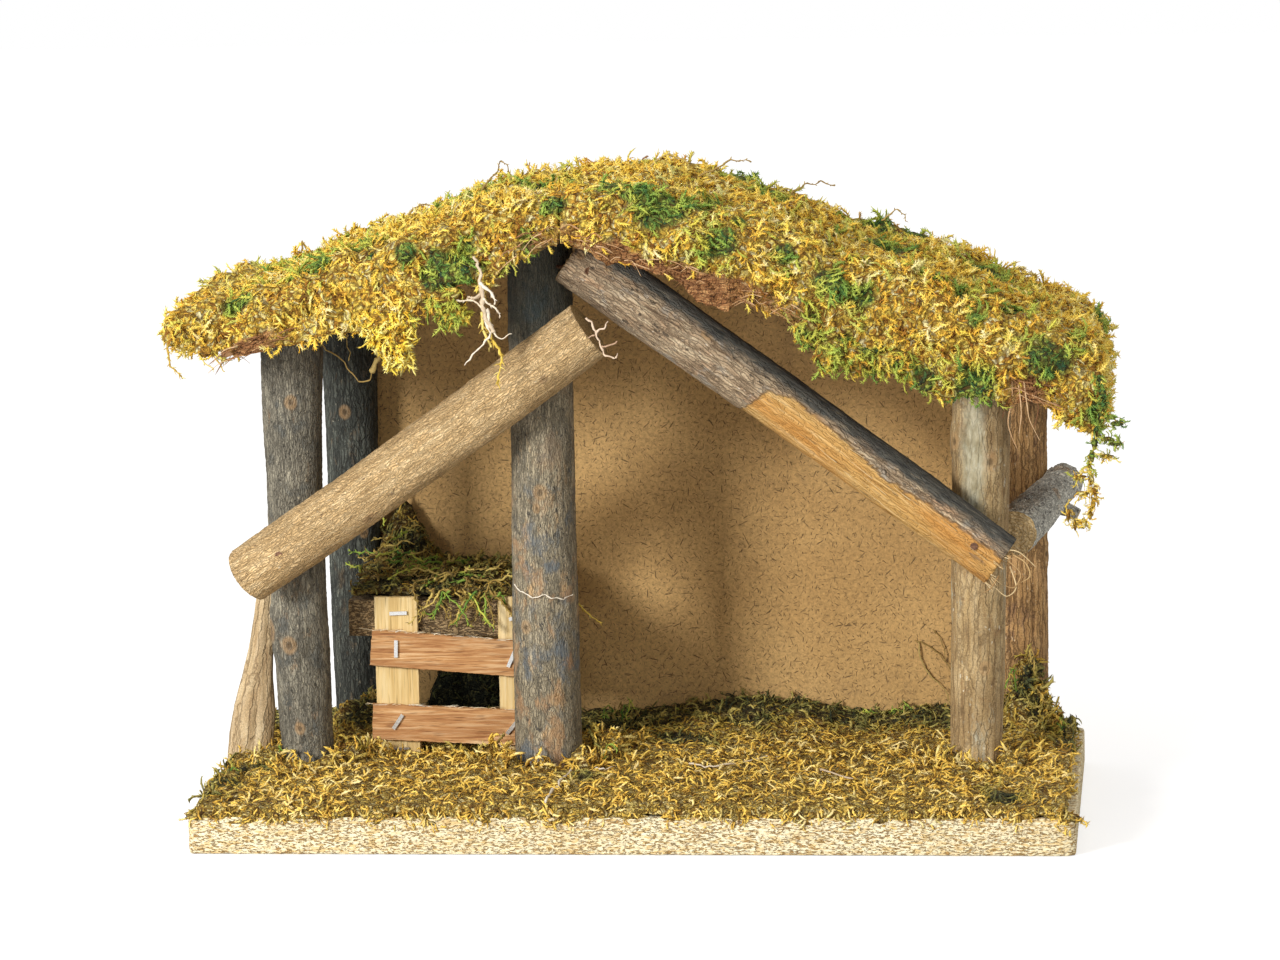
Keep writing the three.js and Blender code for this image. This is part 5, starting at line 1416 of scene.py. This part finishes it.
def outside_roof(place):
    """How far a place lies outside the panels' footprint, in millimetres."""
    return max(ROOF_FRONT - place.y, place.y - ROOF_BACK, LEFT_EAVE - place.x, place.x - RIGHT_EAVE)


def soil_share(place, below):
    """How bare the front edge is at a place: most by the ridge and near the two eaves."""
    if place.y > ROOF_FRONT + 2 or below > 4.2 + 3.5 * noise.noise(place * 0.12):
        return 0.0
    return max(math.exp(-((place.x - centre) / width) ** 4) for centre, width in BARE_STRETCHES)


def roof_cover(place, normal):
    below = place.z - float(roof_underside(place.x))
    if outside_roof(place) < -0.5 and below < 4.5:
        return 0.0
    if abs(place.x - RIDGE_X) < 1.5 and abs(normal.x) > 0.7:
        return 0.0
    return tufted(place, 7, 0.3) * (1.0 - 0.93 * soil_share(place, below))


def roof_soil(place):
    return soil_share(place, place.z - float(roof_underside(place.x)))


def roof_flow(place, normal):
    hang = 1.0 if outside_roof(place) > 0 else 0.0
    down = (RIDGE_X - place.x) * 0.002
    return Vector((-down, 0, -0.55 * hang)) + swirl(place, normal, 11, 2.4)


for side, seed in (("left", 1), ("right", 2)):
    bed = moss_bed(f"moss_roof_{side}_bed", f"moss_roof_{side}", 1.7, 3.4, 1.6, seed, RIDGE_X, ROOF_SWELLS)
    tuck_in(bed)
    dress_bed(bed, roof_cover, roof_flow, roof_green, roof_soil)
    piece(bed.name, bed, roof_bed_paint, slot="moss", replaces=[f"moss_roof_{side}"])
    for layer, lift in (("under", 0.0), ("middle", 0.15), ("over", 0.4)):
        lay(f"moss_roof_{side}_{layer}", bed, **{
            "Sprigs": roof_sprigs, "Sprigs to the square metre": PLUMES_PER_LAYER, "Smallest": 0.6,
            "Largest": 1.4,
            "Lift": lift, "Tangle": 0.6, "Seed": seed * 10 + len(layer), "Finish": roof_moss,
        })

# Floor moss
# A thin matted layer of short brown and golden moss on the base, greener towards the back and darker there,
# partly its own olive and partly painted shade. It is heaped against the posts and the wall, and under the
# loft it is painted nearly black for the shade there.
floor_tones = (
    (0.0, (0.17, 0.08, 0.02)), (0.2, (0.47, 0.27, 0.047)), (0.45, (0.79, 0.51, 0.085)),
    (0.75, (0.96, 0.7, 0.16)), (1.0, (0.94, 0.79, 0.38)),
)
olive_tones = (
    (0.0, (0.015, 0.02, 0.016)), (0.4, (0.06, 0.07, 0.03)), (0.7, (0.2, 0.19, 0.05)),
    (1.0, (0.55, 0.46, 0.14)),
)
floor_moss = moss_paint("Brown moss", floor_tones, olive_tones, (0.36, 0.28, 0.05))
floor_bed_paint = bed_paint("Floor moss bed", shaded(floor_tones, 0.85), olive_tones, (0.3, 0.2, 0.06),
                            1000.0)
floor_sprigs = gather(
    "Floor plume", PLUME_KINDS, stem=4.2, steps=4, leaf=1.0, pairs=3, width=0.31, curl=0.5, arch=0.5,
)
FLOOR_GREEN = (
    (-138, -45, 18, 9), (-20, -35, 18, 5), (120, -62, 18, 7), (-126, -20, 18, 6), (20, 62, 22, 16),
    (-16, 45, 20, 16),
    (60, 66, 24, 16), (126, 44, 36, 12), (126, 50, 24, 12), (-100, 26, 24, 10), (-15, 60, 20, 16),
    (140, 20, 20, 9),
    (-60, 40, 20, 30), (10, 20, 18, 9), (-140, -60, 16, 7), (90, 66, 22, 9),
)
FLOOR_FRONT = -70
FLOOR_PLUMES = 76000.0
LOFT_MOSS_LEVEL = 55
loft_moss = moss_paint("Loft moss", shaded(floor_tones, 0.7), olive_tones, (0.22, 0.2, 0.05))
loft_bed_paint = bed_paint(
    "Loft moss bed", shaded(floor_tones, 0.4), shaded(olive_tones, 0.6), (0.1, 0.06, 0.03), 900.0,
)


def floor_green(place):
    if place.z > LOFT_MOSS_LEVEL:
        return 0.42 + 0.7 * noise.noise(place / 6)
    spots = near_patches(place, FLOOR_GREEN, 1.0)
    # Towards the back the moss takes the dark olive tones: partly its own green, partly painted shade.
    back = 0.62 * min(1.0, max(0.0, (place.y - 15) / 40))
    return max(spots, back) + 0.25 * noise.noise(place / 8)


def floor_cover(place, normal):
    if normal.z < -0.3 or (place.y > 70.5 and normal.y > 0.6):
        return 0.0
    return tufted(place, 6, 0.45)


def floor_flow(place, normal):
    over_edge = 0.8 if place.y < FLOOR_FRONT else 0.0
    return Vector((0, -0.2 * over_edge, -over_edge)) + swirl(place, normal, 9, 1.2)


for node, finish, bed_finish in (
    ("moss_floor", floor_moss, floor_bed_paint), ("moss_loft", loft_moss, loft_bed_paint),
):
    bed = moss_bed(f"{node}_bed", node, 1.6, 1.8, 0.9, 3)
    if node == "moss_floor":
        droop_over_rim(bed, 1.0, 3.4)
    dress_bed(bed, floor_cover, floor_flow, floor_green, lambda place: 0.0)
    piece(bed.name, bed, bed_finish, slot="moss", replaces=[node])
    for layer, lift, seed in (("under", 0.0, 31), ("middle", 0.1, 38), ("over", 0.35, 47)):
        lay(f"{node}_{layer}", bed, **{
            "Sprigs": floor_sprigs, "Sprigs to the square metre": FLOOR_PLUMES, "Smallest": 0.6,
            "Largest": 1.4,
            "Lift": lift, "Tangle": 0.9, "Seed": seed, "Finish": finish,
        })

# Clumps of moss
# Fuller clumps that belong to the mats: a golden tuft and a green lobe that hang from the left roof, green
# lobes along the right one and the leafy part of the tendril at its eave. On the floor there are heaps of
# loose moss round the feet of the posts and up the back right one, and a shaggy rim along the front edge.
def clump_bed(name, balls):
    """One bed of lumpy balls, each given by its centre and its three radii in millimetres."""
    ball = bmesh.new()
    bmesh.ops.create_icosphere(ball, subdivisions=3, radius=1.0)
    corners, faces = [], []
    for centre, radii in balls:
        first = len(corners)
        for corner in ball.verts:
            lump = 1 + 0.4 * noise.noise(corner.co * 1.7 + Vector(centre))
            sides = zip(centre, corner.co, radii)
            corners.append([(middle + way * radius * lump) * MM for middle, way, radius in sides])
        faces += [[first + corner.index for corner in face.verts] for face in ball.faces]
    ball.free()
    return build_mesh(name, corners, faces)


def lay_clumps(name, balls, sprigs, finish, bed_finish, flow, green, density, smallest=0.6, largest=1.3):
    bed = clump_bed(f"{name}_bed", balls)
    dress_bed(bed, lambda place, normal: 1.0, flow, green, lambda place: 0.0)
    piece(bed.name, bed, bed_finish, slot="moss")
    lay(f"{name}_plumes", bed, **{
        "Sprigs": sprigs, "Sprigs to the square metre": density, "Smallest": smallest, "Largest": largest,
        "Lift": 0.25, "Tangle": 0.8, "Seed": len(name), "Finish": finish,
    })


def hanging(place, normal):
    return Vector((0, -0.1, -0.7)) + swirl(place, normal, 7, 2.0)


def standing(place, normal):
    return Vector((0, -0.1, 0.4)) + swirl(place, normal, 6, 1.6)


def trailing(place, normal):
    return Vector((0, 0, -0.5)) + 0.9 * normal


def over_rim(place, normal):
    return Vector((0, -0.25, -0.7)) + swirl(place, normal, 5, 1.5)


def even_green(amount, change, grain):
    """How green a clump is, a little more here and less there."""
    return lambda place: amount + change * noise.noise(place / grain)


tuft_moss = moss_paint("Bright moss", (
    (0.0, (0.72, 0.4, 0.04)), (0.3, (1.0, 0.66, 0.06)), (0.65, (1.0, 0.82, 0.12)), (1.0, (1.0, 0.92, 0.4)),
), green_tones, YELLOW_GREEN)
lay_clumps("roof_tuft", [
    ((-77, -47.5, 168), (7.5, 4.5, 6)), ((-75.5, -48, 162.5), (5.4, 4, 4.6)),
    ((-73.5, -48.5, 157.5), (3.2, 3, 3.6)),
], roof_sprigs, tuft_moss, roof_bed_paint, hanging, lambda place: 0.0, 330000.0)
lay_clumps("roof_green_lobe", [
    ((-57.5, -47.5, 175), (6, 4.5, 5)), ((-56.5, -48, 170.5), (4.2, 3.6, 3.2)),
], roof_sprigs, roof_moss, roof_bed_paint, hanging, even_green(0.34, 0.25, 4), 330000.0)
lay_clumps("roof_right_lobe", [
    ((58, -47.5, 165), (4.5, 3.6, 4)), ((66, -47.8, 157.5), (6, 3.8, 5)), ((74, -47.8, 156), (5, 3.6, 4)),
    ((85, -47.8, 154.5), (6.5, 3.8, 3.4)),
], roof_sprigs, roof_moss, roof_bed_paint, hanging, even_green(0.38, 0.35, 4), 300000.0)
TENDRIL_ROUTE = (
    (150.5, 148), (151.5, 144), (151.8, 140), (150.6, 136), (149.6, 132), (148.8, 128), (147.8, 124),
    (147, 120),
    (147.6, 116.5), (148.8, 113), (148.2, 109), (147.2, 105.5), (145.2, 102.6), (142.4, 102.4), (140.2, 105),
)
TENDRIL_Y = -49
TENDRIL_SPRAYS = ((153.6, 136.5), (156, 134.5), (153, 129.5), (155.6, 128), (152.5, 124), (143.8, 117.4),
                  (145, 112))
lay_clumps("tendril_right", [
    *(((x, TENDRIL_Y, z), (1.15 - 0.035 * number, 1, 1.9)) for number, (x, z) in enumerate(TENDRIL_ROUTE)),
    *(((x, TENDRIL_Y, z), (2.1, 0.9, 0.8)) for x, z in TENDRIL_SPRAYS),
], roof_sprigs, roof_moss, roof_bed_paint, trailing,
    lambda place: min(0.75, max(0.0, (place.z - 112) / 30)) + 0.25 * noise.noise(place / 3), 560000.0, 0.3,
    0.72)
lay_clumps("floor_heaps", [
    ((-125, -16, 17), (5, 4.5, 6)), ((-116, -22.5, 16), (6, 4, 4)), ((-105, -21.5, 16.5), (6, 4, 5)),
    ((-98, -12, 18), (4.5, 4, 6)), ((-91, -5, 16.5), (5, 3.5, 5)), ((-72, -8, 15.5), (11, 3.5, 3)),
    ((-51, -10, 17), (4.5, 4, 6)), ((-46, -21, 16.5), (5.5, 4, 5)), ((-34, -25, 15.5), (7, 4, 4)),
    ((-20, -20, 17), (5, 4.5, 6)), ((-14, -3, 19), (5, 5, 8)), ((99, -17, 16.5), (5, 4.5, 5)),
    ((110, -23, 15.5), (7, 4, 4)), ((121, -16, 16.5), (5, 4.5, 5)), ((-8, 12, 16), (6, 5, 6)),
    ((-136, -24, 14.5), (5, 7, 4.5)), ((-137, -44, 14), (6, 8, 3)), ((135, -30, 14), (6, 9, 3)),
    ((130, 4, 14.5), (6, 7, 4)),
], floor_sprigs, floor_moss, floor_bed_paint, standing,
    lambda place: 0.45 * noise.noise(place / 4) + (0.45 if place.x < -131 else 0.05), 140000.0, 0.8, 1.8)
RIM_BALLS = 26
RIM_START, RIM_RUN = -136, 270
rim_rng = random.Random(33)
rim_balls = []
for number in range(RIM_BALLS):
    x = RIM_START + RIM_RUN * (number + rim_rng.uniform(-0.4, 0.4)) / (RIM_BALLS - 1)
    rim_balls.append(((x, -72.2, FLOOR_LEVEL - rim_rng.uniform(-0.6, 1.4)),
                      (rim_rng.uniform(4, 9), 3.0, rim_rng.uniform(1.6, 2.8))))
lay_clumps("floor_rim", rim_balls, floor_sprigs, floor_moss, floor_bed_paint, over_rim,
           even_green(0.0, 0.25, 6), 260000.0, 0.5, 1.1)
lay_clumps("back_right_heap", [
    ((125, 45, 17), (8, 6, 8)), ((124, 46, 27), (5.5, 5, 7)), ((124.5, 49, 36), (4, 4, 6)),
    ((131, 42, 17), (6, 6, 6)),
    ((116, 55, 16), (6, 5, 5)), ((-100, 44, 16), (5, 5, 7)), ((-98, 46, 24), (3.6, 4, 5)),
], floor_sprigs, floor_moss, floor_bed_paint, standing, even_green(0.4, 0.5, 5), 130000.0, 1.0, 2.0)

# Moss under the loft
# A heap of dry moss against the wall below the loft, its near-black tones painted shade, which is what shows
# through the slot of the rack.
# It is made and dressed as the mats are.
HEAP_LEFT, HEAP_RIGHT = -84, -36
HEAP_HEIGHT = 27
HEAP_FRONT = 60.5
HEAP_BACK = 70.8
HEAP_STEPS = 30


def heap_mesh():
    """A low bank with a bulging front, closed all round."""
    corners, faces = [], []
    outline = ((0.0, 0.0), (-0.55, 0.35), (-1.0, 0.72), (-0.7, 0.96), (0.0, 1.0))
    for step in range(HEAP_STEPS + 1):
        share = step / HEAP_STEPS
        x = HEAP_LEFT + (HEAP_RIGHT - HEAP_LEFT) * share
        arched = 0.35 + 0.65 * math.sin(math.pi * share) ** 0.5
        top = HEAP_HEIGHT * arched * (1 + 0.12 * math.sin(11 * share))
        for depth, height in outline:
            y = HEAP_BACK + depth * (HEAP_BACK - HEAP_FRONT) * (1 - 0.3 * height)
            corners.append((x * MM, y * MM, (FLOOR_LEVEL + 0.4 + top * height) * MM))
    width = len(outline)
    for step in range(HEAP_STEPS):
        for k in range(width):
            first, second = step * width + k, step * width + (k + 1) % width
            faces.append((first, first + width, second + width, second))
    faces.append(tuple(range(width)))
    faces.append(tuple(reversed(range(HEAP_STEPS * width, (HEAP_STEPS + 1) * width))))
    mesh = build_mesh("moss_heap_bed", corners, faces)
    shell = bmesh.new()
    shell.from_mesh(mesh)
    bmesh.ops.recalc_face_normals(shell, faces=shell.faces)
    shell.to_mesh(mesh)
    shell.free()
    return mesh


# Painted shade: the heap's moss is given near-black tones for the dark below the loft.
shaded_heap_tones = ((0.0, (0.012, 0.012, 0.008)), (0.5, (0.05, 0.045, 0.02)), (1.0, (0.16, 0.13, 0.05)))
shaded_heap_greens = ((0.0, (0.008, 0.014, 0.01)), (0.5, (0.03, 0.045, 0.025)), (1.0, (0.11, 0.12, 0.04)))
heap = heap_mesh()
dress_bed(heap, lambda place, normal: 1.0 if normal.y < 0.5 and normal.z > -0.5 else 0.0, floor_flow,
          lambda place: 0.4, lambda place: 0.0)
shaded_heap_bed = bed_paint("Dark moss bed", shaded_heap_tones, shaded_heap_greens, (0.05, 0.03, 0.02), 900.0)
piece("moss_heap_bed", heap, shaded_heap_bed, slot="moss")
lay("moss_heap_plumes", heap, **{
    "Sprigs": floor_sprigs, "Sprigs to the square metre": 90000.0, "Smallest": 0.7, "Largest": 1.3,
    "Lift": 0.3,
    "Tangle": 0.9, "Seed": 63, "Finish": moss_paint("Dark moss", shaded_heap_tones, shaded_heap_greens, (0.08, 0.07, 0.02)),
})

# Loose strands
# The stems of the tendril at the right eave, golden strands at the left roof, pale lichens, tan fibres where
# the left brace ends, dry stems on top and a seed twig. Each is caught in the moss or the bark at one end.
LEAF_PITCH = 0.85
TENDRIL_START_Y = -46
LICHEN_Y = -50.5
FIBRE_Y = -40.5
RIDGE_STEM_Y = 20
TWIG_Y = -22


def trail(points, thick, thin, rng, leaf):
    """The tubes of one strand along its route and, where leaf is over 0, the small leaves along it."""
    path = smooth_path(vectors(*points), 5)
    path = [spot + noise.noise_vector(spot / 2.2) * 0.9 for spot in path]
    tubes = [tube(path, thick, thin, 5, 0.8, 0.3, rng)]
    run, side = 0.0, 1
    for before, after in zip(path, path[1:]):
        step = after - before
        run += step.length
        if not leaf or run < LEAF_PITCH:
            continue
        run, side = 0.0, -side
        ahead = step.normalized()
        across = ahead.cross(Vector((0, 1, 0))).normalized() * side
        reach = leaf * rng.uniform(0.7, 1.25)
        loose = Vector((0, rng.uniform(-0.8, 0.4), rng.uniform(-0.2, 0.3)))
        way = (across + ahead * 0.8 + loose).normalized()
        bent = after + way * reach + ahead * reach * 0.3
        tubes.append(tube([after, after + way * reach * 0.55, bent], thick * 0.75, 0.1, 4, 0.6, 0.0, rng))
    return tubes


def at_depth(y, *points):
    """Points of a route that keeps to one depth, given by their X and Z."""
    return [(x, y, z) for x, z in points]


def on_floor(lift, *points):
    """Points of a route that lies on the floor moss, given by their X and Y."""
    return [(x, y, FLOOR_LEVEL + lift) for x, y in points]


def strands(name, material, routes, seed):
    rng = random.Random(seed)
    tubes = [part for route, thick, thin, leaf in routes for part in trail(route, thick, thin, rng, leaf)]
    piece(name, bundle(name, tubes), material, slot="moss")


tendril_green = strand_paint("Green tendril", (0.07, 0.17, 0.03), (0.3, 0.42, 0.06), (0.62, 0.6, 0.1))
tendril_gold = strand_paint("Golden tendril", (0.42, 0.26, 0.04), (0.74, 0.52, 0.08), (0.85, 0.72, 0.25))
lichen_pale = strand_paint("Pale lichen", (0.46, 0.33, 0.2), (0.76, 0.64, 0.47), (0.87, 0.79, 0.66))
floor_strand = strand_paint("Floor strand", (0.12, 0.08, 0.03), (0.38, 0.25, 0.06), (0.66, 0.5, 0.14))
root_brown = strand_paint("Roots", (0.16, 0.07, 0.03), (0.38, 0.18, 0.07), (0.66, 0.44, 0.24))
stem_tan = strand_paint("Tan stem", (0.36, 0.21, 0.12), (0.6, 0.42, 0.28), (0.78, 0.62, 0.46))
stem_brown = strand_paint("Dry stem", (0.2, 0.12, 0.04), (0.4, 0.27, 0.08), (0.52, 0.4, 0.15))

strands("tendril_stems", tendril_gold, [
    (at_depth(TENDRIL_Y, *TENDRIL_ROUTE), 0.4, 0.25, 0.0),
    (at_depth(TENDRIL_Y, (150.4, 136), (153.6, 136.5), (157.4, 134)), 0.45, 0.25, 1.4),
    (at_depth(TENDRIL_Y, (149.4, 130), (153, 129.5), (157, 127)), 0.45, 0.25, 1.4),
    (at_depth(TENDRIL_Y, (148.2, 125), (152.5, 124), (157, 122)), 0.45, 0.25, 1.4),
    (at_depth(TENDRIL_Y, (147, 119), (143.8, 117.4), (142, 113.6)), 0.3, 0.15, 1.1),
    (at_depth(TENDRIL_Y, (148.6, 113.5), (145, 112), (142.4, 109.4)), 0.3, 0.15, 1.1),
    (at_depth(TENDRIL_Y, (140.2, 105), (139.2, 108.4), (140.6, 110.4)), 0.3, 0.15, 1.0),
], 5)
strands("tendrils_left", tendril_gold, [
    (at_depth(TENDRIL_Y, (-147.5, 167), (-148.3, 161.9), (-148.5, 156.4), (-146.3, 153.2), (-143.8, 150.5)),
     0.5, 0.25, 1.4),
    (at_depth(TENDRIL_START_Y, (-140, 163), (-138.7, 158.1), (-134.6, 153.2)), 0.35, 0.2, 1.0),
    (at_depth(TENDRIL_START_Y, (-137, 164), (-135.4, 159.7), (-130.4, 152.5)), 0.35, 0.2, 1.0),
    (at_depth(-48, (-44.5, 170), (-44, 166), (-41.5, 159.5), (-40.7, 154.7), (-42.1, 148.2)), 0.6, 0.35, 1.7),
    (at_depth(-48.6, (-46.5, 172), (-46, 166), (-43.5, 160)), 0.6, 0.35, 1.7),
], 6)
strands("lichens", lichen_pale, [
    (at_depth(LICHEN_Y, (-48.2, 190), (-47, 186.5), (-46.4, 182.7), (-46.6, 178)), 0.6, 0.75, 0.0),
    (at_depth(LICHEN_Y, (-46.6, 179), (-45.8, 174), (-45.1, 170.4), (-43.2, 167.6), (-42.7, 165.3)), 0.8,
     1.0, 0.9),
    (at_depth(LICHEN_Y, (-44.6, 173), (-43.6, 169.4), (-44.2, 166.6)), 0.8, 0.4, 0.9),
    (at_depth(LICHEN_Y, (-45.8, 178), (-48.2, 176.4), (-50.6, 177.2)), 0.7, 0.4, 0.8),
    (at_depth(LICHEN_Y, (-44.8, 169.9), (-44, 163.4), (-47.7, 159.6), (-51.7, 155.1)), 0.45, 0.2, 0.0),
    (at_depth(LICHEN_Y, (-45.4, 173.1), (-49.8, 175.7), (-54.4, 175.7)), 0.55, 0.25, 0.8),
    (at_depth(LICHEN_Y, (-42.4, 165.3), (-39.5, 163.4), (-36.6, 165)), 0.35, 0.15, 0.0),
    (at_depth(LICHEN_Y, (-46.2, 181), (-43, 178), (-41.5, 174.5)), 0.7, 0.3, 0.8),
    (at_depth(LICHEN_Y, (-45.8, 176), (-42.4, 173.5), (-40.2, 170.5)), 0.5, 0.25, 0.8),
], 7)
strands("brace_fibres", stem_tan, [
    (at_depth(FIBRE_Y, (-13.4, 168.8), (-11.2, 165.3), (-9.7, 161), (-8.4, 157.1), (-4.9, 155.8),
              (-3.9, 157.1)),
     0.55, 0.25, 0.0),
    (at_depth(FIBRE_Y, (-10.6, 163.6), (-7.6, 165.6), (-6.3, 167.5)), 0.45, 0.2, 0.0),
    (at_depth(FIBRE_Y, (-9, 159.4), (-5.2, 159.7), (-3.5, 161)), 0.45, 0.2, 0.0),
    (at_depth(FIBRE_Y, (-10.9, 163), (-12.9, 162.4)), 0.35, 0.2, 0.0),
], 7)
strands("roof_stems", stem_brown, [
    (at_depth(RIDGE_STEM_Y, (-55.5, 200), (-53.9, 204.5), (-51.8, 207.8), (-49.1, 211.1), (-48.7, 214.2),
              (-46, 212.7),
              (-44.8, 208.4)), 0.4, 0.2, 0.7),
    (at_depth(RIDGE_STEM_Y, (2, 212), (6.8, 216), (11.7, 214.4), (15, 212.7)), 0.4, 0.2, 0.0),
    (at_depth(RIDGE_STEM_Y, (18, 208), (23.2, 211), (29.9, 213.5), (34.9, 212.8)), 0.4, 0.2, 0.7),
    (at_depth(RIDGE_STEM_Y, (48, 202), (53, 205), (57.9, 205.9), (62.5, 204.6)), 0.4, 0.2, 0.7),
    (at_depth(RIDGE_STEM_Y, (78, 193), (82.9, 196.4), (84.9, 195.4), (86.1, 192.4)), 0.35, 0.2, 0.7),
    (at_depth(RIDGE_STEM_Y, (-116, 184), (-115.3, 188.4), (-114.4, 185)), 0.35, 0.2, 0.0),
    (at_depth(RIDGE_STEM_Y, (-80, 196), (-76.2, 199.7), (-71.5, 199), (-66.2, 197.3)), 0.35, 0.2, 0.6),
    (at_depth(TWIG_Y, (-103.1, 162), (-103.1, 159.1), (-97, 153.2), (-91.9, 147.2), (-89.3, 145.6),
              (-87.3, 147.8),
              (-85.9, 151.1)), 0.3, 0.25, 0.0),
    (at_depth(TWIG_Y, (-86.6, 149.2), (-84.5, 153.7), (-85, 157)), 1.1, 0.3, 0.0),
    (at_depth(TWIG_Y, (-94.2, 162), (-94.2, 159.7), (-93.7, 153.2)), 0.3, 0.15, 0.0),
], 8)

# Roots under the front edge
# Fine reddish roots and torn layers that show along the front of the moss, by the ridge and at both eaves.
# They run along the edge and droop a little.
FALLEN_ROOT_Y = -47
ROOT_FALL = math.tan(math.radians(19))
ROOT_RUNS = ((-36, 58, 70), (-133, -112, 16), (122, 140, 20))
rng = random.Random(41)
roots = []
for start_x, end_x, count in ROOT_RUNS:
    for _ in range(count):
        x = rng.uniform(start_x, end_x)
        edge_height = float(roof_underside(x)) + rng.uniform(-1.5, 4.5)
        fall = -math.copysign(ROOT_FALL, x - RIDGE_X)
        reach = rng.uniform(3, 9) * rng.choice((-1, 1))
        root = Vector((x, rng.uniform(-51.2, -49.0), edge_height))
        half = fall * reach * 0.5
        middle = root + Vector((reach * 0.5, rng.uniform(-0.6, 0.3), half + rng.uniform(-1.4, 0.8)))
        end = root + Vector((reach, rng.uniform(-0.6, 0.4), fall * reach - rng.uniform(0, 3.5)))
        route = smooth_path([root, middle, end], 4)
        roots.append(tube(route, rng.uniform(0.18, 0.42), 0.08, 4, 0.7, 0.15, rng))
for fallen in (
    ((122.7, 148), (122.7, 142), (121.4, 134), (124.4, 125.7)),
    ((126.5, 148), (127.5, 140), (128.3, 135.3), (131.4, 128.9)),
    ((119, 147), (120.5, 141), (119.5, 136)), ((130, 146), (131, 139), (129.6, 133)),
    ((124.8, 147), (125.6, 138), (124.8, 131)),
):
    route = smooth_path(vectors(*at_depth(FALLEN_ROOT_Y, *fallen)), 5)
    roots.append(tube(route, 0.35, 0.12, 4, 0.7, 0.15, rng))
piece("roof_roots", bundle("roof_roots", roots), root_brown, slot="moss")

# Threads and strands on the floor and the loft
# Pale root threads that lie on the floor moss and one wound across the centre post. Strands stand up in the
# heaps and over the loft, dry stems lean on the wall, and one leaf hangs at the centre post.
strands("floor_threads", lichen_pale, [
    (on_floor(5.2, (-26.2, -75.4), (-25.1, -44.1), (-23.1, -21.5), (-20.2, -15), (-14.2, -24.8),
              (-10.4, -19.9)),
     0.45, 0.3, 0.0),
    (on_floor(6.2, (15, -19.7), (22.1, -24.6), (28.4, -21.3), (37.4, -11.4), (48.4, -3.1)), 0.45, 0.3, 0.0),
    (on_floor(6.4, (58.3, -30.9), (70.2, -45.1)), 0.6, 0.4, 0.0),
    ([(-42.5, -13.5, 77.5), (-40.2, -18.6, 76.6), (-36.5, -21.2, 74.4), (-31.5, -21.7, 74.9),
      (-26.6, -20.4, 73.4),
      (-22.6, -15.4, 74)], 0.3, 0.2, 0.0),
], 9)
FLOOR_CLUMPS = (
    (124, 47, 6, 31, 7), (132, 42, 7, 14, 6), (-100, 44, 5, 20, 8), (-13, 0, 5, 14, 8), (20, 66, 26, 9, 20),
    (82, 66, 30, 9, 22), (-14, 56, 7, 12, 10), (-126, -8, 5, 9, 6), (-135, -34, 5, 7, 7),
)
WALL_CLEAR_Y = 69.0
clump_rng = random.Random(27)
clump_routes = {"gold": [], "green": []}
for centre_x, centre_y, spread, tallest, count in FLOOR_CLUMPS:
    for number in range(count):
        x = clump_rng.gauss(centre_x, spread * 0.5)
        y = min(clump_rng.gauss(centre_y, 3.5), WALL_CLEAR_Y)
        height = tallest * clump_rng.uniform(0.3, 1.0) * math.exp(-((x - centre_x) / spread) ** 2)
        lean_x, lean_y = clump_rng.uniform(-4, 4), clump_rng.uniform(-4, 1)
        foot = FLOOR_LEVEL + 2.5
        route = [
            (x, y, foot), (x + lean_x * 0.3, y + lean_y * 0.2, foot + 0.6 * height),
            (x + lean_x, y + lean_y, foot + height),
            (x + 1.7 * lean_x, y + 1.6 * lean_y, foot + 0.75 * height),
        ]
        clump_routes["green" if number % 3 == 0 else "gold"].append((route, 0.4, 0.2, 1.3))
strands("floor_clumps_gold", floor_strand, clump_routes["gold"], 13)
strands("floor_clumps_green", tendril_green, clump_routes["green"], 14)
LOFT_MOSS_TOP = 73.5
STRANDS_ON_TOP, STRANDS_BEHIND, STRANDS_IN_FRONT = 56, 12, 24
loft_rng = random.Random(41)
loft_routes = {"gold": [], "green": []}
for number in range(STRANDS_ON_TOP + STRANDS_BEHIND + STRANDS_IN_FRONT):
    if number < STRANDS_ON_TOP:
        x, y = loft_rng.uniform(-100, -48), loft_rng.uniform(4, 36)
        z = LOFT_MOSS_TOP + 0.13 * y + loft_rng.uniform(-0.8, 1.6)
    elif number < STRANDS_ON_TOP + STRANDS_BEHIND:
        x, y, z = loft_rng.uniform(-99, -82), loft_rng.uniform(46, 56), loft_rng.uniform(74, 90)
    else:
        x, y, z = loft_rng.uniform(-74, -48), loft_rng.uniform(0, 3), LOFT_MOSS_TOP - 1
    heading = loft_rng.uniform(0, 2 * math.pi)
    reach = loft_rng.uniform(5, 13)
    route = [(x, y, z)]
    for step in range(3):
        heading += loft_rng.uniform(-0.8, 0.8)
        x, y = x + math.cos(heading) * reach / 3, max(y + math.sin(heading) * reach / 3, -2.5)
        z += loft_rng.uniform(-1.2, 1.4) - (3.6 if y < 4 else 0.0)
        route.append((x, y, z))
    loft_routes["green" if number % 3 == 1 else "gold"].append((route, 0.48, 0.25, 1.2))
strands("loft_strands_gold", floor_strand, loft_routes["gold"], 16)
strands("loft_strands_green", tendril_green, loft_routes["green"], 17)
strands("wall_stems", stem_brown, [
    (((84.7, 70.3, 43.4), (90.5, 70.2, 40.6), (96.6, 69.6, 33.6), (99, 68, 24)), 0.35, 0.2, 0.0),
    (((85.8, 70.3, 42.7), (88.1, 70, 33.6), (94.8, 69.4, 25.9), (97, 68, 18)), 0.35, 0.2, 0.0),
    (((91, 70.3, 47), (94, 70.2, 43), (95, 69.8, 36)), 0.25, 0.15, 0.0),
    (((24, 70.2, 27), (28, 70, 23), (29, 68, 17)), 0.3, 0.2, 0.9),
], 18)
strands("centre_leaf", tendril_gold, [
    (at_depth(-2, (-24.1, 69.7), (-19.2, 64.6), (-14.3, 62.3)), 0.35, 0.2, 1.2),
], 10)
